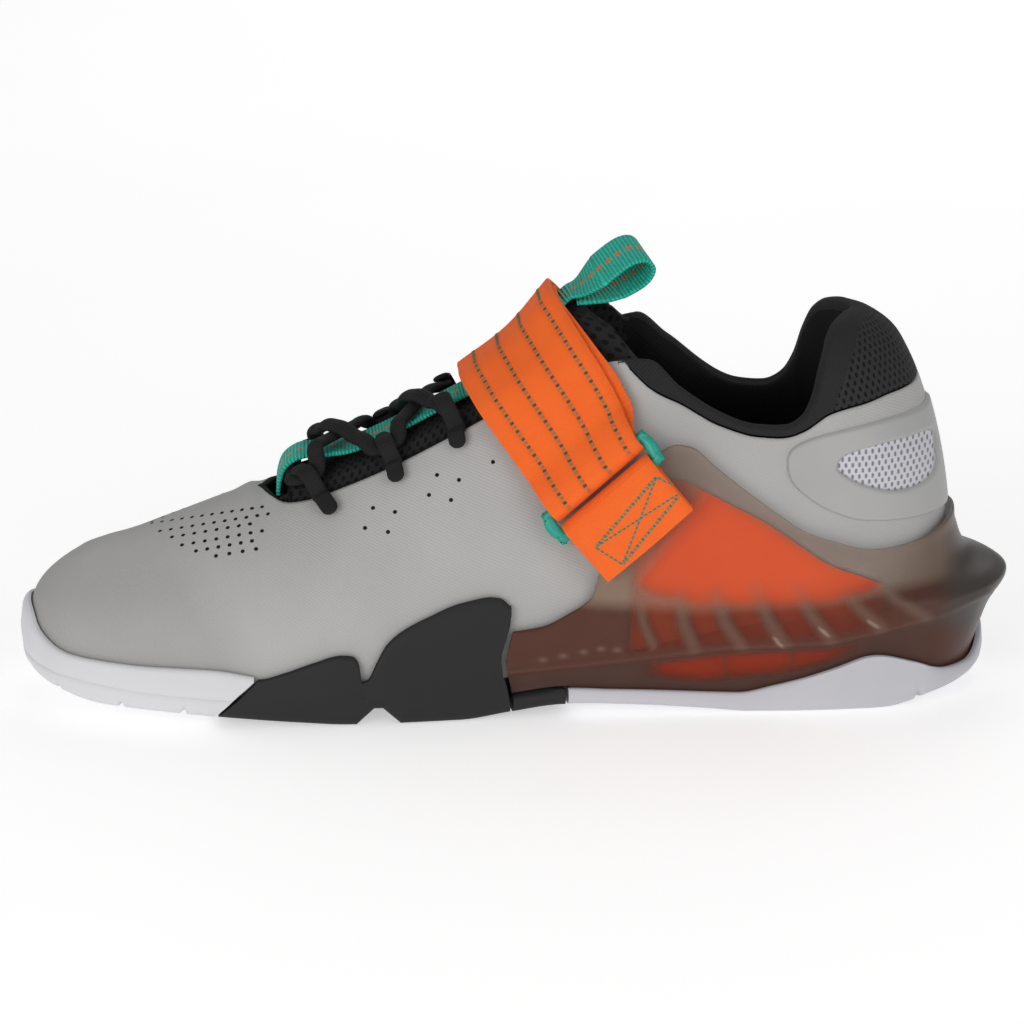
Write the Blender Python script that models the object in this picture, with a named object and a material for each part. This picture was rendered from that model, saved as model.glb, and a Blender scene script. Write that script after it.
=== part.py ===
"""Weightlifting shoe for the right foot, men's, about 27 cm foot length, as separate closed solids.

Metres, +Z up, floor at z = 0. The toe points towards -X and the medial (inner) side is -Y.
The origin is the middle of the heel's flat spot on the floor.

Everything is worked out from the last: a plan outline, a foot-bed height and a wall that rises
from the outline to the crown, the throat edge or the collar. A place along the shoe is a share
of the upper's length, 0 at the toe and 1 at the heel. Table entries are shares of named sizes.
"""

import math

import bmesh
import bpy
import numpy as np
from mathutils import Vector
from mathutils.bvhtree import BVHTree

# Driving sizes of the last and the upper
UPPER_LENGTH = 0.277
HEEL_BACK = 0.0385  # from the origin to the back of the upper
BALL_WIDTH = 0.096
UPPER_HEIGHT = 0.086  # collar's back above the foot-bed
WALL = 0.0022
GAP = 0.0003

# Sole
HEEL_STACK = 0.030
FORE_STACK = 0.0085
TOE_SPRING = 0.012
ARCH_RISE = 0.0035
HEEL_BEVEL = 0.006
FOXING = 0.0026  # rubber wall round the forefoot
TREAD_DEPTH = 0.0014
GROOVE_WIDTH = 0.0020
FLEX_NOTCH_DEPTH = 0.0048
FLEX_NOTCH_WIDTH = 0.013
OUTSOLE_FLOOR = 0.0042  # heel outsole under the core
OUTSOLE_RIM = 0.0020
WRAP_TAIL = 0.0052  # midfoot wrap's thin end under the heel cage

# Heel cage, core and insole
CAGE_SKIN = 0.0022
CAGE_FOOT = 0.0026
FLARE = 0.0195  # how far the heel flare stands behind the upper
PANEL = 0.0008  # orange webbing panel under the cage
INSOLE = 0.0040

# Collar, tongue and webbing
COLLAR_PAD = 0.0050
ANKLE_PAD = 0.0060
TONGUE = 0.0024
TONGUE_PUFF = 0.0050
TONGUE_RISE = 0.0085  # more, at its free end
TONGUE_PEAK = 0.0160  # how far the free end's middle stands forward of its sides
WEBBING_WIDTH = 0.0160
WEBBING = 0.0013

# Laces, loops, strap and ring
LACE_WIDTH = 0.0046
LACE = 0.0023
LOOP_WIDTH = 0.0052
LOOP_LENGTH = 0.0088
LOOP = 0.0012
STRAP_WIDTH = 0.0380
STRAP = 0.0018
RING_BAR = 0.0030
RING_SLOT = 0.0060
RING_OVERHANG = 0.0024  # of the bar's middle beyond the strap's edge
COUNTER = 0.0008
COUNTER_LIFT = 0.0003

COLUMNS = 31  # of the upper, on each side
ROWS = 6

# Plan outline where upper meets sole: distance of each side from the heel's axis, in ball widths.
PLAN = (
    ("s", "medial", "lateral"),
    (0.000, 0.052, -0.052),
    (0.012, 0.198, 0.099),
    (0.040, 0.302, 0.224),
    (0.090, 0.370, 0.323),
    (0.150, 0.404, 0.406),
    (0.220, 0.424, 0.471),
    (0.290, 0.430, 0.510),
    (0.370, 0.425, 0.521),
    (0.460, 0.401, 0.500),
    (0.550, 0.367, 0.458),
    (0.640, 0.346, 0.417),
    (0.730, 0.340, 0.383),
    (0.820, 0.340, 0.360),
    (0.900, 0.323, 0.329),
    (0.955, 0.260, 0.258),
    (0.985, 0.161, 0.156),
    (1.000, 0.000, 0.000),
)

# Top of each wall column: its own place along the length, the middle between the two sides' tops
# and half the way between them in ball widths, height above the bed in upper heights. Handles
# shape the wall: rise and drop in column heights, bulge and reach in ball widths.
TOP = (
    ("s", "top_at", "middle", "half", "height", "rise", "bulge", "reach", "drop"),
    (0.000, 0.0596, -0.0520, 0.0000, 0.326, 0.62, 0.035, 0.110, 0.00),
    (0.040, 0.0757, -0.0500, 0.0000, 0.374, 0.60, 0.034, 0.150, 0.00),
    (0.090, 0.1084, -0.0470, 0.0000, 0.424, 0.58, 0.032, 0.190, 0.00),
    (0.150, 0.1554, -0.0420, 0.0000, 0.498, 0.56, 0.031, 0.222, 0.00),
    (0.220, 0.2200, -0.0340, 0.0000, 0.591, 0.55, 0.030, 0.235, 0.00),
    (0.247, 0.2470, -0.0310, 0.0000, 0.627, 0.55, 0.030, 0.235, 0.00),
    (0.260, 0.2600, -0.0315, 0.0935, 0.627, 0.485, 0.026, 0.188, 0.105),
    (0.275, 0.2750, -0.0310, 0.1510, 0.620, 0.455, 0.024, 0.161, 0.153),
    (0.300, 0.3000, -0.0310, 0.1770, 0.636, 0.445, 0.024, 0.147, 0.172),
    (0.345, 0.3450, -0.0315, 0.1875, 0.692, 0.450, 0.026, 0.138, 0.175),
    (0.392, 0.3920, -0.0290, 0.1900, 0.752, 0.450, 0.030, 0.128, 0.175),
    (0.464, 0.4640, -0.0210, 0.1980, 0.852, 0.440, 0.036, 0.112, 0.180),
    (0.514, 0.5140, -0.0180, 0.2060, 0.921, 0.43, 0.042, 0.095, 0.18),
    (0.572, 0.5720, -0.0105, 0.2185, 0.991, 0.40, 0.050, 0.082, 0.20),
    (0.625, 0.6250, -0.0025, 0.2425, 1.010, 0.38, 0.055, 0.072, 0.25),
    (0.666, 0.6660, 0.0000, 0.2660, 0.971, 0.36, 0.058, 0.062, 0.28),
    (0.700, 0.7000, 0.0000, 0.2810, 0.842, 0.35, 0.060, 0.055, 0.30),
    (0.738, 0.7380, 0.0000, 0.2920, 0.751, 0.34, 0.061, 0.052, 0.32),
    (0.780, 0.7800, 0.0000, 0.2970, 0.693, 0.34, 0.062, 0.052, 0.33),
    (0.810, 0.8100, 0.0000, 0.2970, 0.681, 0.34, 0.063, 0.052, 0.33),
    (0.835, 0.8285, 0.0000, 0.2920, 0.705, 0.34, 0.063, 0.054, 0.32),
    (0.860, 0.8412, 0.0000, 0.2810, 0.770, 0.34, 0.062, 0.058, 0.30),
    (0.885, 0.8503, 0.0000, 0.2660, 0.864, 0.34, 0.060, 0.068, 0.26),
    (0.910, 0.8610, 0.0000, 0.2340, 0.941, 0.34, 0.055, 0.085, 0.21),
    (0.935, 0.8772, 0.0000, 0.1880, 0.985, 0.34, 0.048, 0.110, 0.17),
    (0.960, 0.8954, 0.0000, 0.1250, 1.000, 0.34, 0.040, 0.138, 0.14),
    (0.985, 0.9099, 0.0000, 0.0620, 1.000, 0.35, 0.033, 0.160, 0.12),
    (1.000, 0.9152, 0.0000, 0.0000, 1.000, 0.35, 0.031, 0.167, 0.116),
)

# Where the grey shell ends behind the throat, above the bed in upper heights. The collar goes on.
EDGE = (
    ("s", "height"),
    (0.640, 0.990),
    (0.666, 0.895),
    (0.700, 0.815),
    (0.738, 0.722),
    (0.780, 0.657),
    (0.810, 0.642),
    (0.835, 0.654),
    (0.860, 0.677),
    (0.885, 0.703),
    (0.910, 0.717),
    (0.935, 0.729),
    (0.960, 0.745),
    (1.000, 0.762),
)
THROAT_FRONT = 0.247
COLLAR_FRONT = 0.663

# Sole along its length: toe spring, foot-bed lift, heel drop, arch and heel bevel, as shares of
# their sizes, and how far the sole stands outside the plan outline, in heel stacks.
SOLE = (
    ("s", "spring", "bed", "drop", "arch", "bevel", "out"),
    (0.000, 1.00, 0.71, 0.000, 0.0, 0.00, 0.090),
    (0.030, 0.72, 0.56, 0.000, 0.0, 0.00, 0.090),
    (0.070, 0.50, 0.44, 0.000, 0.0, 0.00, 0.090),
    (0.120, 0.40, 0.28, 0.000, 0.0, 0.00, 0.090),
    (0.200, 0.25, 0.12, 0.000, 0.0, 0.00, 0.090),
    (0.290, 0.08, 0.02, 0.000, 0.0, 0.00, 0.085),
    (0.345, 0.00, 0.00, 0.000, 0.0, 0.00, 0.085),
    (0.460, 0.00, 0.00, 0.093, 0.0, 0.00, 0.095),
    (0.514, 0.00, 0.00, 0.190, 0.5, 0.00, 0.110),
    (0.572, 0.00, 0.00, 0.340, 1.0, 0.00, 0.140),
    (0.640, 0.00, 0.00, 0.510, 0.8, 0.00, 0.165),
    (0.730, 0.00, 0.00, 0.745, 0.3, 0.00, 0.185),
    (0.776, 0.00, 0.00, 0.850, 0.0, 0.00, 0.190),
    (0.820, 0.00, 0.00, 0.907, 0.0, 0.00, 0.200),
    (0.918, 0.00, 0.00, 0.985, 0.0, 0.00, 0.235),
    (0.960, 0.00, 0.00, 1.000, 0.0, 0.55, 0.330),
    (1.000, 0.00, 0.00, 1.000, 0.0, 1.00, 0.430),
)

# Top edge of the white foxing above the bed, in heel stacks.
FOXING_TOP = (
    ("s", "height"),
    (0.000, 0.470),
    (0.006, 0.430),
    (0.016, 0.310),
    (0.050, 0.200),
    (0.110, 0.230),
    (0.200, 0.270),
    (0.247, 0.220),
)

# Top edge of the black midfoot wrap above the bed, in heel stacks: a low wing, a slit, a tall wing.
WRAP_TOP = (
    ("s", "height"),
    (0.200, 0.200),
    (0.247, 0.205),
    (0.273, 0.275),
    (0.305, 0.385),
    (0.334, 0.460),
    (0.346, 0.450),
    (0.353, 0.365),
    (0.356, 0.185),
    (0.362, 0.200),
    (0.371, 0.360),
    (0.382, 0.545),
    (0.400, 0.680),
    (0.428, 0.790),
    (0.460, 0.880),
    (0.485, 0.900),
    (0.503, 0.860),
    (0.512, 0.770),
)
WRAP_JOINT = (0.2020, 0.2480)  # where white meets black, at the floor and at the foxing's top
WRAP_BACK = 0.514
WRAP_BACK_HOLLOW = 0.011  # how far the wing's back edge is cut forward, in lengths
WRAP_END = 0.5735

# Heel cage: top edge, crest and outsole edge above the bed or the floor, in heel stacks. The crest's
# and the top's distance outside the upper, as shares of the flare.
CAGE = (
    ("s", "top", "crest", "crest_out", "outsole"),
    (0.514, 0.500, 0.583, 0.175, 0.310),
    (0.548, 0.480, 0.620, 0.180, 0.305),
    (0.580, 0.560, 0.660, 0.185, 0.300),
    (0.600, 0.660, 0.680, 0.190, 0.290),
    (0.608, 0.900, 0.685, 0.190, 0.285),
    (0.614, 1.180, 0.690, 0.190, 0.280),
    (0.640, 1.640, 0.700, 0.195, 0.270),
    (0.665, 1.930, 0.715, 0.200, 0.260),
    (0.688, 2.000, 0.730, 0.205, 0.250),
    (0.708, 1.940, 0.745, 0.210, 0.240),
    (0.732, 1.720, 0.755, 0.215, 0.230),
    (0.762, 1.450, 0.765, 0.220, 0.220),
    (0.800, 1.150, 0.780, 0.225, 0.290),
    (0.830, 0.960, 0.790, 0.235, 0.360),
    (0.861, 0.840, 0.805, 0.255, 0.450),
    (0.905, 0.700, 0.930, 0.330, 0.575),
    (0.940, 0.680, 1.010, 0.470, 0.480),
    (0.968, 0.720, 1.060, 0.640, 0.350),
    (0.986, 0.780, 1.090, 0.830, 0.330),
    (1.000, 0.830, 1.100, 1.000, 0.540),
)

# The orange webbing panel under the cage, above the bed in heel stacks.
WEB_PANEL = (
    ("s", "low", "high"),
    (0.636, 0.86, 1.04),
    (0.655, 0.70, 1.66),
    (0.680, 0.58, 1.60),
    (0.720, 0.42, 1.38),
    (0.770, 0.32, 1.02),
    (0.820, 0.26, 0.72),
    (0.860, 0.26, 0.46),
)

# Heel counter overlay, above the bed in upper heights.
COUNTER_EDGE = (
    ("s", "low", "high"),
    (0.812, 0.540, 0.575),
    (0.818, 0.495, 0.605),
    (0.835, 0.445, 0.625),
    (0.865, 0.385, 0.640),
    (0.905, 0.335, 0.655),
    (0.950, 0.315, 0.670),
    (1.000, 0.300, 0.680),
)
# Window in the counter: length along the heel and height above the bed, in upper heights.
WINDOW = (
    ("along", "height"),
    (0.005, 0.530),
    (0.035, 0.568),
    (0.130, 0.590),
    (0.250, 0.598),
    (0.355, 0.590),
    (0.375, 0.520),
    (0.365, 0.460),
    (0.300, 0.432),
    (0.200, 0.432),
    (0.100, 0.462),
    (0.030, 0.500),
)

MEDIAL, LATERAL = "medial", "lateral"
SIDES = (MEDIAL, LATERAL)


def turn(share):
    """The angle along the outline, 0 to 1, that spaces the round ends evenly."""
    return np.arccos(1 - 2 * np.clip(share, 0.0, 1.0)) / math.pi


def column_of(table, name, at):
    """A table's column at shares of the length, by a cubic that never overshoots its rows."""
    spot = table[0].index(name)
    known = turn(np.array([row[0] for row in table[1:]], float))
    value = np.array([row[spot] for row in table[1:]], float)
    step = np.diff(known)
    slope = np.diff(value) / step
    tangent = np.zeros(len(value))
    same = slope[1:] * slope[:-1] > 0
    weight_a = 2 * step[1:] + step[:-1]
    weight_b = step[1:] + 2 * step[:-1]
    safe = np.where(same, slope[1:] * slope[:-1], 1.0)
    mean = (weight_a + weight_b) * safe / (weight_a * slope[1:] + weight_b * slope[:-1] + (~same))
    tangent[1:-1] = np.where(same, mean, 0.0)
    tangent[0], tangent[-1] = slope[0], slope[-1]
    place = np.clip(turn(np.asarray(at, float)), known[0], known[-1])
    left = np.clip(np.searchsorted(known, place) - 1, 0, len(step) - 1)
    part = (place - known[left]) / step[left]
    rest = 1 - part
    return (
        value[left] * (1 + 2 * part) * rest**2
        + tangent[left] * step[left] * part * rest**2
        + value[left + 1] * (3 - 2 * part) * part**2
        - tangent[left + 1] * step[left] * rest * part**2
    )


def along(share):
    """X of a place along the upper."""
    return HEEL_BACK - UPPER_LENGTH * (1 - np.asarray(share, float))


def side_sign(side):
    return -1.0 if side == MEDIAL else 1.0


def bed(share):
    """Height of the foot-bed."""
    lift = column_of(SOLE, "bed", share) * TOE_SPRING
    return FORE_STACK + lift + column_of(SOLE, "drop", share) * (HEEL_STACK - FORE_STACK)


def tread(share):
    """Height of the sole's underside."""
    return (
        column_of(SOLE, "spring", share) * TOE_SPRING
        + column_of(SOLE, "arch", share) * ARCH_RISE
        + column_of(SOLE, "bevel", share) * HEEL_BEVEL
    )


def sole_out(share):
    return column_of(SOLE, "out", share) * HEEL_STACK


def outline(side, share):
    """Plan points of the outline and its outward normals."""
    share = np.atleast_1d(np.asarray(share, float))
    small = 1e-4
    place = turn(share)

    def at(value):
        value = np.clip(value, 0.0, 1.0)
        where = (1 - np.cos(math.pi * value)) / 2
        return along(where), side_sign(side) * BALL_WIDTH * column_of(PLAN, side, where)

    x, y = at(place)
    x_after, y_after = at(place + small)
    x_before, y_before = at(place - small)
    run = np.stack([x_after - x_before, y_after - y_before], -1)
    run[share <= 0] = (0.0, side_sign(side))
    run[share >= 1] = (0.0, -side_sign(side))
    run /= np.linalg.norm(run, axis=-1, keepdims=True)
    normal = np.stack([run[:, 1], -run[:, 0]], -1) * -side_sign(side)
    return np.stack([x, y], -1), normal


def wall_handles(side, share):
    """The four Bezier points of each wall column, from the outline up."""
    share = np.atleast_1d(np.asarray(share, float))
    plan, normal = outline(side, share)
    top_x = along(column_of(TOP, "top_at", share))
    half = side_sign(side) * column_of(TOP, "half", share)
    top_y = BALL_WIDTH * (column_of(TOP, "middle", share) + half)
    low = bed(share)
    tall = column_of(TOP, "height", share) * UPPER_HEIGHT
    near = np.clip(share + 0.004, 0, 1)
    before = np.clip(share - 0.004, 0, 1)

    def crown(where):
        height = bed(where) + column_of(TOP, "height", where) * UPPER_HEIGHT
        return along(column_of(TOP, "top_at", where)), height

    (x_near, z_near), (x_before, z_before) = crown(near), crown(before)
    crest_slope = (z_near - z_before) / np.maximum(x_near - x_before, 1e-6)
    crest_slope = np.where(share <= THROAT_FRONT, crest_slope, 0.0)
    rise = column_of(TOP, "rise", share)
    bulge = column_of(TOP, "bulge", share) * BALL_WIDTH
    reach = column_of(TOP, "reach", share) * BALL_WIDTH
    drop = column_of(TOP, "drop", share)
    foot = np.stack([plan[:, 0], plan[:, 1], low], -1)
    top = np.stack([top_x, top_y, low + tall], -1)
    first = foot + np.stack([normal[:, 0] * bulge, normal[:, 1] * bulge, rise * tall], -1)
    lean = normal[:, 0] * reach
    second = top + np.stack([lean, normal[:, 1] * reach, crest_slope * lean - drop * tall], -1)
    return np.stack([foot, first, second, top], 1)


def wall(side, share, up):
    """Wall points for each share and each up (0 at the outline, 1 at the top): shape (n, m, 3)."""
    four = wall_handles(side, share)
    up = np.asarray(up, float)
    if up.ndim == 1:
        up = np.repeat(up[None, :], len(four), 0)
    rest = 1 - up
    weights = np.stack([rest**3, 3 * rest**2 * up, 3 * rest * up**2, up**3], -1)
    return np.einsum("nmk,nkc->nmc", weights, four)


SAMPLES = np.linspace(0, 1, 41)


def skin(side, share, height, out=0.0):
    """Points on the upper's outer face at given heights, moved outwards. Below it: straight down."""
    share = np.atleast_1d(np.asarray(share, float))
    height = np.broadcast_to(np.asarray(height, float), share.shape)
    out = np.broadcast_to(np.asarray(out, float), share.shape)
    fine = wall(side, share, SAMPLES)
    normal = outline(side, share)[1]
    found = np.zeros((len(share), 3))
    for i, z in enumerate(height):
        column = fine[i]
        order = np.maximum.accumulate(column[:, 2])
        x = np.interp(z, order, column[:, 0])
        y = np.interp(z, order, column[:, 1])
        found[i] = (x + normal[i, 0] * out[i], y + normal[i, 1] * out[i], z)
    return found


def up_at_height(side, share, height):
    """How far up its column the wall reaches each height."""
    fine = wall(side, share, SAMPLES)
    return np.array([
        np.interp(z, np.maximum.accumulate(fine[i][:, 2]), SAMPLES) for i, z in enumerate(height)
    ])


def even_shares(count, start=0.0, end=1.0):
    """Shares spaced evenly along the outline's length between two places."""
    fine = np.linspace(turn(start), turn(end), 600)
    where = (1 - np.cos(math.pi * fine)) / 2
    points = outline(MEDIAL, where)[0]
    run = np.concatenate([[0], np.cumsum(np.linalg.norm(np.diff(points, axis=0), axis=1))])
    picked = np.interp(np.linspace(0, run[-1], count), run, where)
    picked[0], picked[-1] = start, end
    return picked


def stations(start, end, extra=()):
    """The upper's own columns between two places, both ends and some extra places.

    Pieces that hug the upper share its columns, so their flat facets never cut into it.
    """
    own = [s for s in upper_stations() if start + 0.002 < s < end - 0.002]
    more = [s for s in extra if start + 1e-6 < s < end - 1e-6]
    own = [s for s in own if not more or min(abs(s - m) for m in more) > 0.0012]
    return np.array(sorted([start, *own, *more, end]))


def upper_stations():
    return with_places(even_shares(COLUMNS), [0.247, 0.252, 0.260, 0.275, 0.290, 0.640, 0.663], 0.006)


def with_places(shares, extra, keep=0.0045):
    """The shares with extra ones put in, and neighbours that are too close to an extra taken out."""
    extra = np.array(sorted(extra))
    inner = [s for s in shares[1:-1] if np.abs(extra - s).min() > keep]
    ends = [s for s in (shares[0], shares[-1]) if np.abs(extra - s).min() > 1e-6]
    return np.array(sorted([*inner, *ends, *extra]))


# Materials

def material(name, colour, roughness, metallic=0.0, transmission=0.0):
    made = bpy.data.materials.new(name)
    made.use_nodes = True
    shader = made.node_tree.nodes["Principled BSDF"]
    shader.inputs["Base Color"].default_value = (*colour, 1.0)
    shader.inputs["Roughness"].default_value = roughness
    shader.inputs["Metallic"].default_value = metallic
    shader.inputs["Transmission Weight"].default_value = transmission
    made.diffuse_color = (*colour, 1.0)
    return made


def clear_scene():
    for old in list(bpy.data.objects):
        bpy.data.objects.remove(old)


# Mesh helpers

def solid_object(name, points, faces, look, sharp_degrees=40):
    """One object from points and faces, welded, with its faces pointing out."""
    mesh = bpy.data.meshes.new(name)
    mesh.from_pydata([tuple(p) for p in points], [], [tuple(f) for f in faces])
    work = bmesh.new()
    work.from_mesh(mesh)
    bmesh.ops.remove_doubles(work, verts=work.verts, dist=1e-6)
    bmesh.ops.recalc_face_normals(work, faces=work.faces)
    work.to_mesh(mesh)
    work.free()
    mesh.shade_smooth()
    mesh.set_sharp_from_angle(angle=math.radians(sharp_degrees))
    made = bpy.data.objects.new(name, mesh)
    bpy.context.scene.collection.objects.link(made)
    mesh.materials.append(look)
    return made


def loft_faces(rings, count, closed_path=False):
    """Quads between neighbouring closed rings of count points each."""
    faces = []
    last = rings if closed_path else rings - 1
    for i in range(last):
        a, b = i * count, ((i + 1) % rings) * count
        for j in range(count):
            k = (j + 1) % count
            faces.append((a + j, a + k, b + k, b + j))
    return faces


def loft(name, rings, look, cap_start=True, cap_end=True, cap=None):
    """A closed solid through closed rings of points. An uncapped end has to close on itself.

    cap lists the faces that close an end, by place in the ring; without it one face does.
    """
    rings = np.asarray(rings, float)
    number, count = rings.shape[:2]
    faces = loft_faces(number, count)
    cap = cap or [tuple(range(count))]
    for wanted, first in ((cap_start, 0), (cap_end, (number - 1) * count)):
        if wanted:
            faces += [tuple(first + i for i in face) for face in cap]
    return solid_object(name, rings.reshape(-1, 3), faces, look)


def cup_cap():
    """End faces of a cup of twelve rows a side: two walls and the floor between them."""
    wall_faces = ((3, 4, 9, 10), (4, 5, 8, 9), (5, 6, 7, 8), (0, 1, 2, 3), (0, 3, 10, 11))
    mirrored = [tuple(23 - i for i in face) for face in wall_faces]
    return [*wall_faces, *mirrored, (0, 11, 12, 23)]


def across(medial, lateral):
    """Closed cross-sections from the two sides' profiles, each of shape (columns, points, 3)."""
    return np.concatenate([medial, lateral[:, ::-1]], axis=1)


def around(medial, lateral):
    """Closed rings in order from the medial front round the heel to the lateral front."""
    return np.concatenate([medial, lateral[::-1][1:]], axis=0)


def shell(name, side_points, look, thickness, offset=-1.0):
    """A thin shell from a grid of points per side, welded where the two sides meet."""
    points, faces = [], []
    for side, grid in side_points.items():
        rows, cols = grid.shape[:2]
        base = len(points)
        points.extend(grid.reshape(-1, 3))
        for i in range(rows - 1):
            for j in range(cols - 1):
                a = base + i * cols + j
                quad = (a, a + cols, a + cols + 1, a + 1)
                faces.append(quad if side == LATERAL else quad[::-1])
    made = solid_object(name, points, faces, look)
    outwards(made)
    solidify = made.modifiers.new("wall", "SOLIDIFY")
    solidify.thickness = thickness
    solidify.offset = offset
    solidify.use_even_offset = True
    solidify.use_quality_normals = True
    return made


def outwards(obj):
    """Turns an open sheet's faces away from the inside of the shoe."""
    mesh = obj.data
    centre = Vector((along(0.45), 0.0, bed(0.45) + 0.25 * UPPER_HEIGHT))
    score = sum(face.normal.dot(face.center - centre) * face.area for face in mesh.polygons)
    if score < 0:
        mesh.flip_normals()


def tree_of(obj):
    """A search tree of an object's evaluated mesh, for laying other pieces on it."""
    graph = bpy.context.evaluated_depsgraph_get()
    evaluated = obj.evaluated_get(graph)
    mesh = evaluated.to_mesh()
    spots = [v.co.copy() for v in mesh.vertices]
    tree = BVHTree.FromPolygons(spots, [tuple(p.vertices) for p in mesh.polygons])
    evaluated.to_mesh_clear()
    return tree


def smooth_path(points, count):
    """A Catmull-Rom curve through points, spaced evenly."""
    points = np.asarray(points, float)
    ends = np.concatenate([[2 * points[0] - points[1]], points, [2 * points[-1] - points[-2]]])
    fine = []
    for i in range(1, len(ends) - 2):
        p0, p1, p2, p3 = ends[i - 1 : i + 3]
        for t in np.linspace(0, 1, 24, endpoint=False):
            fine.append(0.5 * (2 * p1 + (p2 - p0) * t + (2 * p0 - 5 * p1 + 4 * p2 - p3) * t**2
                               + (3 * p1 - p0 - 3 * p2 + p3) * t**3))
    fine = np.array([*fine, points[-1]])
    run = np.concatenate([[0], np.cumsum(np.linalg.norm(np.diff(fine, axis=0), axis=1))])
    spaced = np.linspace(0, run[-1], count)
    return np.stack([np.interp(spaced, run, fine[:, k]) for k in range(fine.shape[1])], -1)


def directions(path):
    run = np.gradient(path, axis=0)
    return run / np.linalg.norm(run, axis=1, keepdims=True)


def ribbon(name, path, width_way, width, thickness, look, closed=False):
    """A flat band along a path. width_way is the band's width direction at each point."""
    path = np.asarray(path, float)
    run = directions(path)
    wide = np.asarray(width_way, float)
    wide = wide - (wide * run).sum(1, keepdims=True) * run
    wide /= np.linalg.norm(wide, axis=1, keepdims=True)
    flat = np.cross(run, wide)
    width = np.broadcast_to(width, len(path))[:, None]
    half = thickness / 2
    rings = np.stack([
        path - wide * width / 2 - flat * half,
        path + wide * width / 2 - flat * half,
        path + wide * width / 2 + flat * half,
        path - wide * width / 2 + flat * half,
    ], 1)
    if closed:
        faces = loft_faces(len(rings), 4, closed_path=True)
        return solid_object(name, rings.reshape(-1, 3), faces, look)
    return loft(name, rings, look)


def oval_tube(path, flat_way, width, thickness, sides=8):
    """Rings of an oval cord along a path. flat_way points away from what the cord lies on."""
    run = directions(path)
    normal = np.asarray(flat_way, float)
    normal = normal - (normal * run).sum(1, keepdims=True) * run
    normal /= np.linalg.norm(normal, axis=1, keepdims=True)
    wide = np.cross(run, normal)
    angle = np.linspace(0, 2 * math.pi, sides, endpoint=False)
    return (
        path[:, None]
        + wide[:, None] * np.cos(angle)[None, :, None] * width / 2
        + normal[:, None] * np.sin(angle)[None, :, None] * thickness / 2
    )


# Upper and what hugs it

def edge_up(side, share):
    """How far up each column the grey shell reaches."""
    height = bed(share) + column_of(EDGE, "height", share) * UPPER_HEIGHT
    reached = up_at_height(side, share, height)
    return np.where(share < EDGE[1][0], 1.0, reached)


def make_upper(look):
    shares = upper_stations()
    grids = {}
    for side in SIDES:
        top = edge_up(side, shares)
        ups = top[:, None] * np.linspace(0, 1, ROWS + 1)[None, :] ** 0.9
        grids[side] = wall(side, shares, ups)
    return shell("upper", grids, look, WALL)


def make_counter(look):
    """The heel overlay on both sides and round the back, with a window cut in each side."""
    shares = stations(COUNTER_EDGE[1][0], 1.0, [COUNTER_EDGE[2][0]])
    lift = COUNTER + COUNTER_LIFT
    grids = {}
    for side in SIDES:
        low = column_of(COUNTER_EDGE, "low", shares)
        high = column_of(COUNTER_EDGE, "high", shares)
        rows = [skin(side, shares, bed(shares) + UPPER_HEIGHT * (low + (high - low) * k), lift)
                for k in np.linspace(0, 1, 4)]
        grids[side] = np.stack(rows, 1)
    made = shell("heel_counter", grids, look, COUNTER)
    cutter = make_window_cutter()
    cut = made.modifiers.new("window", "BOOLEAN")
    cut.operation = "DIFFERENCE"
    cut.object = cutter
    return made


def make_window_cutter():
    """A prism across the heel with the window's outline."""
    origin = along(0.863)
    half = BALL_WIDTH
    names = WINDOW[0]
    rows = [dict(zip(names, row)) for row in WINDOW[1:]]
    points = []
    for y in (-half, half):
        for row in rows:
            x = origin + row["along"] * UPPER_HEIGHT
            points.append((x, y, bed(0.9) + row["height"] * UPPER_HEIGHT))
    count = len(rows)
    faces = [tuple(range(count)), tuple(range(count, 2 * count))]
    faces += [(i, (i + 1) % count, count + (i + 1) % count, count + i) for i in range(count)]
    made = solid_object("window_cutter", points, faces, bpy.data.materials["counter"])
    made.hide_render = True
    made.display_type = "WIRE"
    return made


def make_collar(look):
    """The padded black collar: it carries on from the shell's edge, rolls over and lines the ankle."""
    shares = stations(COLLAR_FRONT, 1.0)
    sides = {}
    for side in SIDES:
        normal = outline(side, shares)[1]
        edge = bed(shares) + column_of(EDGE, "height", shares) * UPPER_HEIGHT
        top = wall(side, shares, np.array([1.0]))[:, 0]
        tall = top[:, 2] - edge
        fore = np.clip((shares - COLLAR_FRONT) / 0.03, 0.8, 1.0)
        pad = COLLAR_PAD * fore + ANKLE_PAD * np.clip((shares - 0.84) / 0.12, 0, 1)
        low = bed(shares) + INSOLE + 0.10 * UPPER_HEIGHT
        flush = np.zeros_like(pad)
        lining = flush - 1.35 * WALL - 2 * GAP
        rings = []

        def at(height, out):
            place = skin(side, shares, height)
            place[:, 0] += normal[:, 0] * out
            place[:, 1] += normal[:, 1] * out
            rings.append(place)

        at(edge + 2 * GAP, flush)
        at(edge + 0.35 * tall + GAP, flush)
        at(edge + 0.70 * tall, flush)
        at(top[:, 2] - 0.10 * pad, -0.16 * pad)
        at(top[:, 2], -0.45 * pad)
        at(top[:, 2] - 0.18 * pad, -0.85 * pad)
        at(edge + 0.45 * tall, -1.12 * pad - 4 * GAP)
        at(edge - 0.05 * UPPER_HEIGHT, -1.0 * pad - WALL)
        at(edge - 0.22 * UPPER_HEIGHT, -0.45 * pad - 1.4 * WALL)
        at(low, lining - 4 * GAP)
        at(low, lining)
        at(edge - 0.22 * UPPER_HEIGHT, lining)
        at(edge - 10 * GAP, lining)
        at(edge + 2 * GAP, lining)
        sides[side] = np.stack(rings, 1)
    return loft("collar", around(sides[MEDIAL], sides[LATERAL]), look)


# Sole

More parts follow.
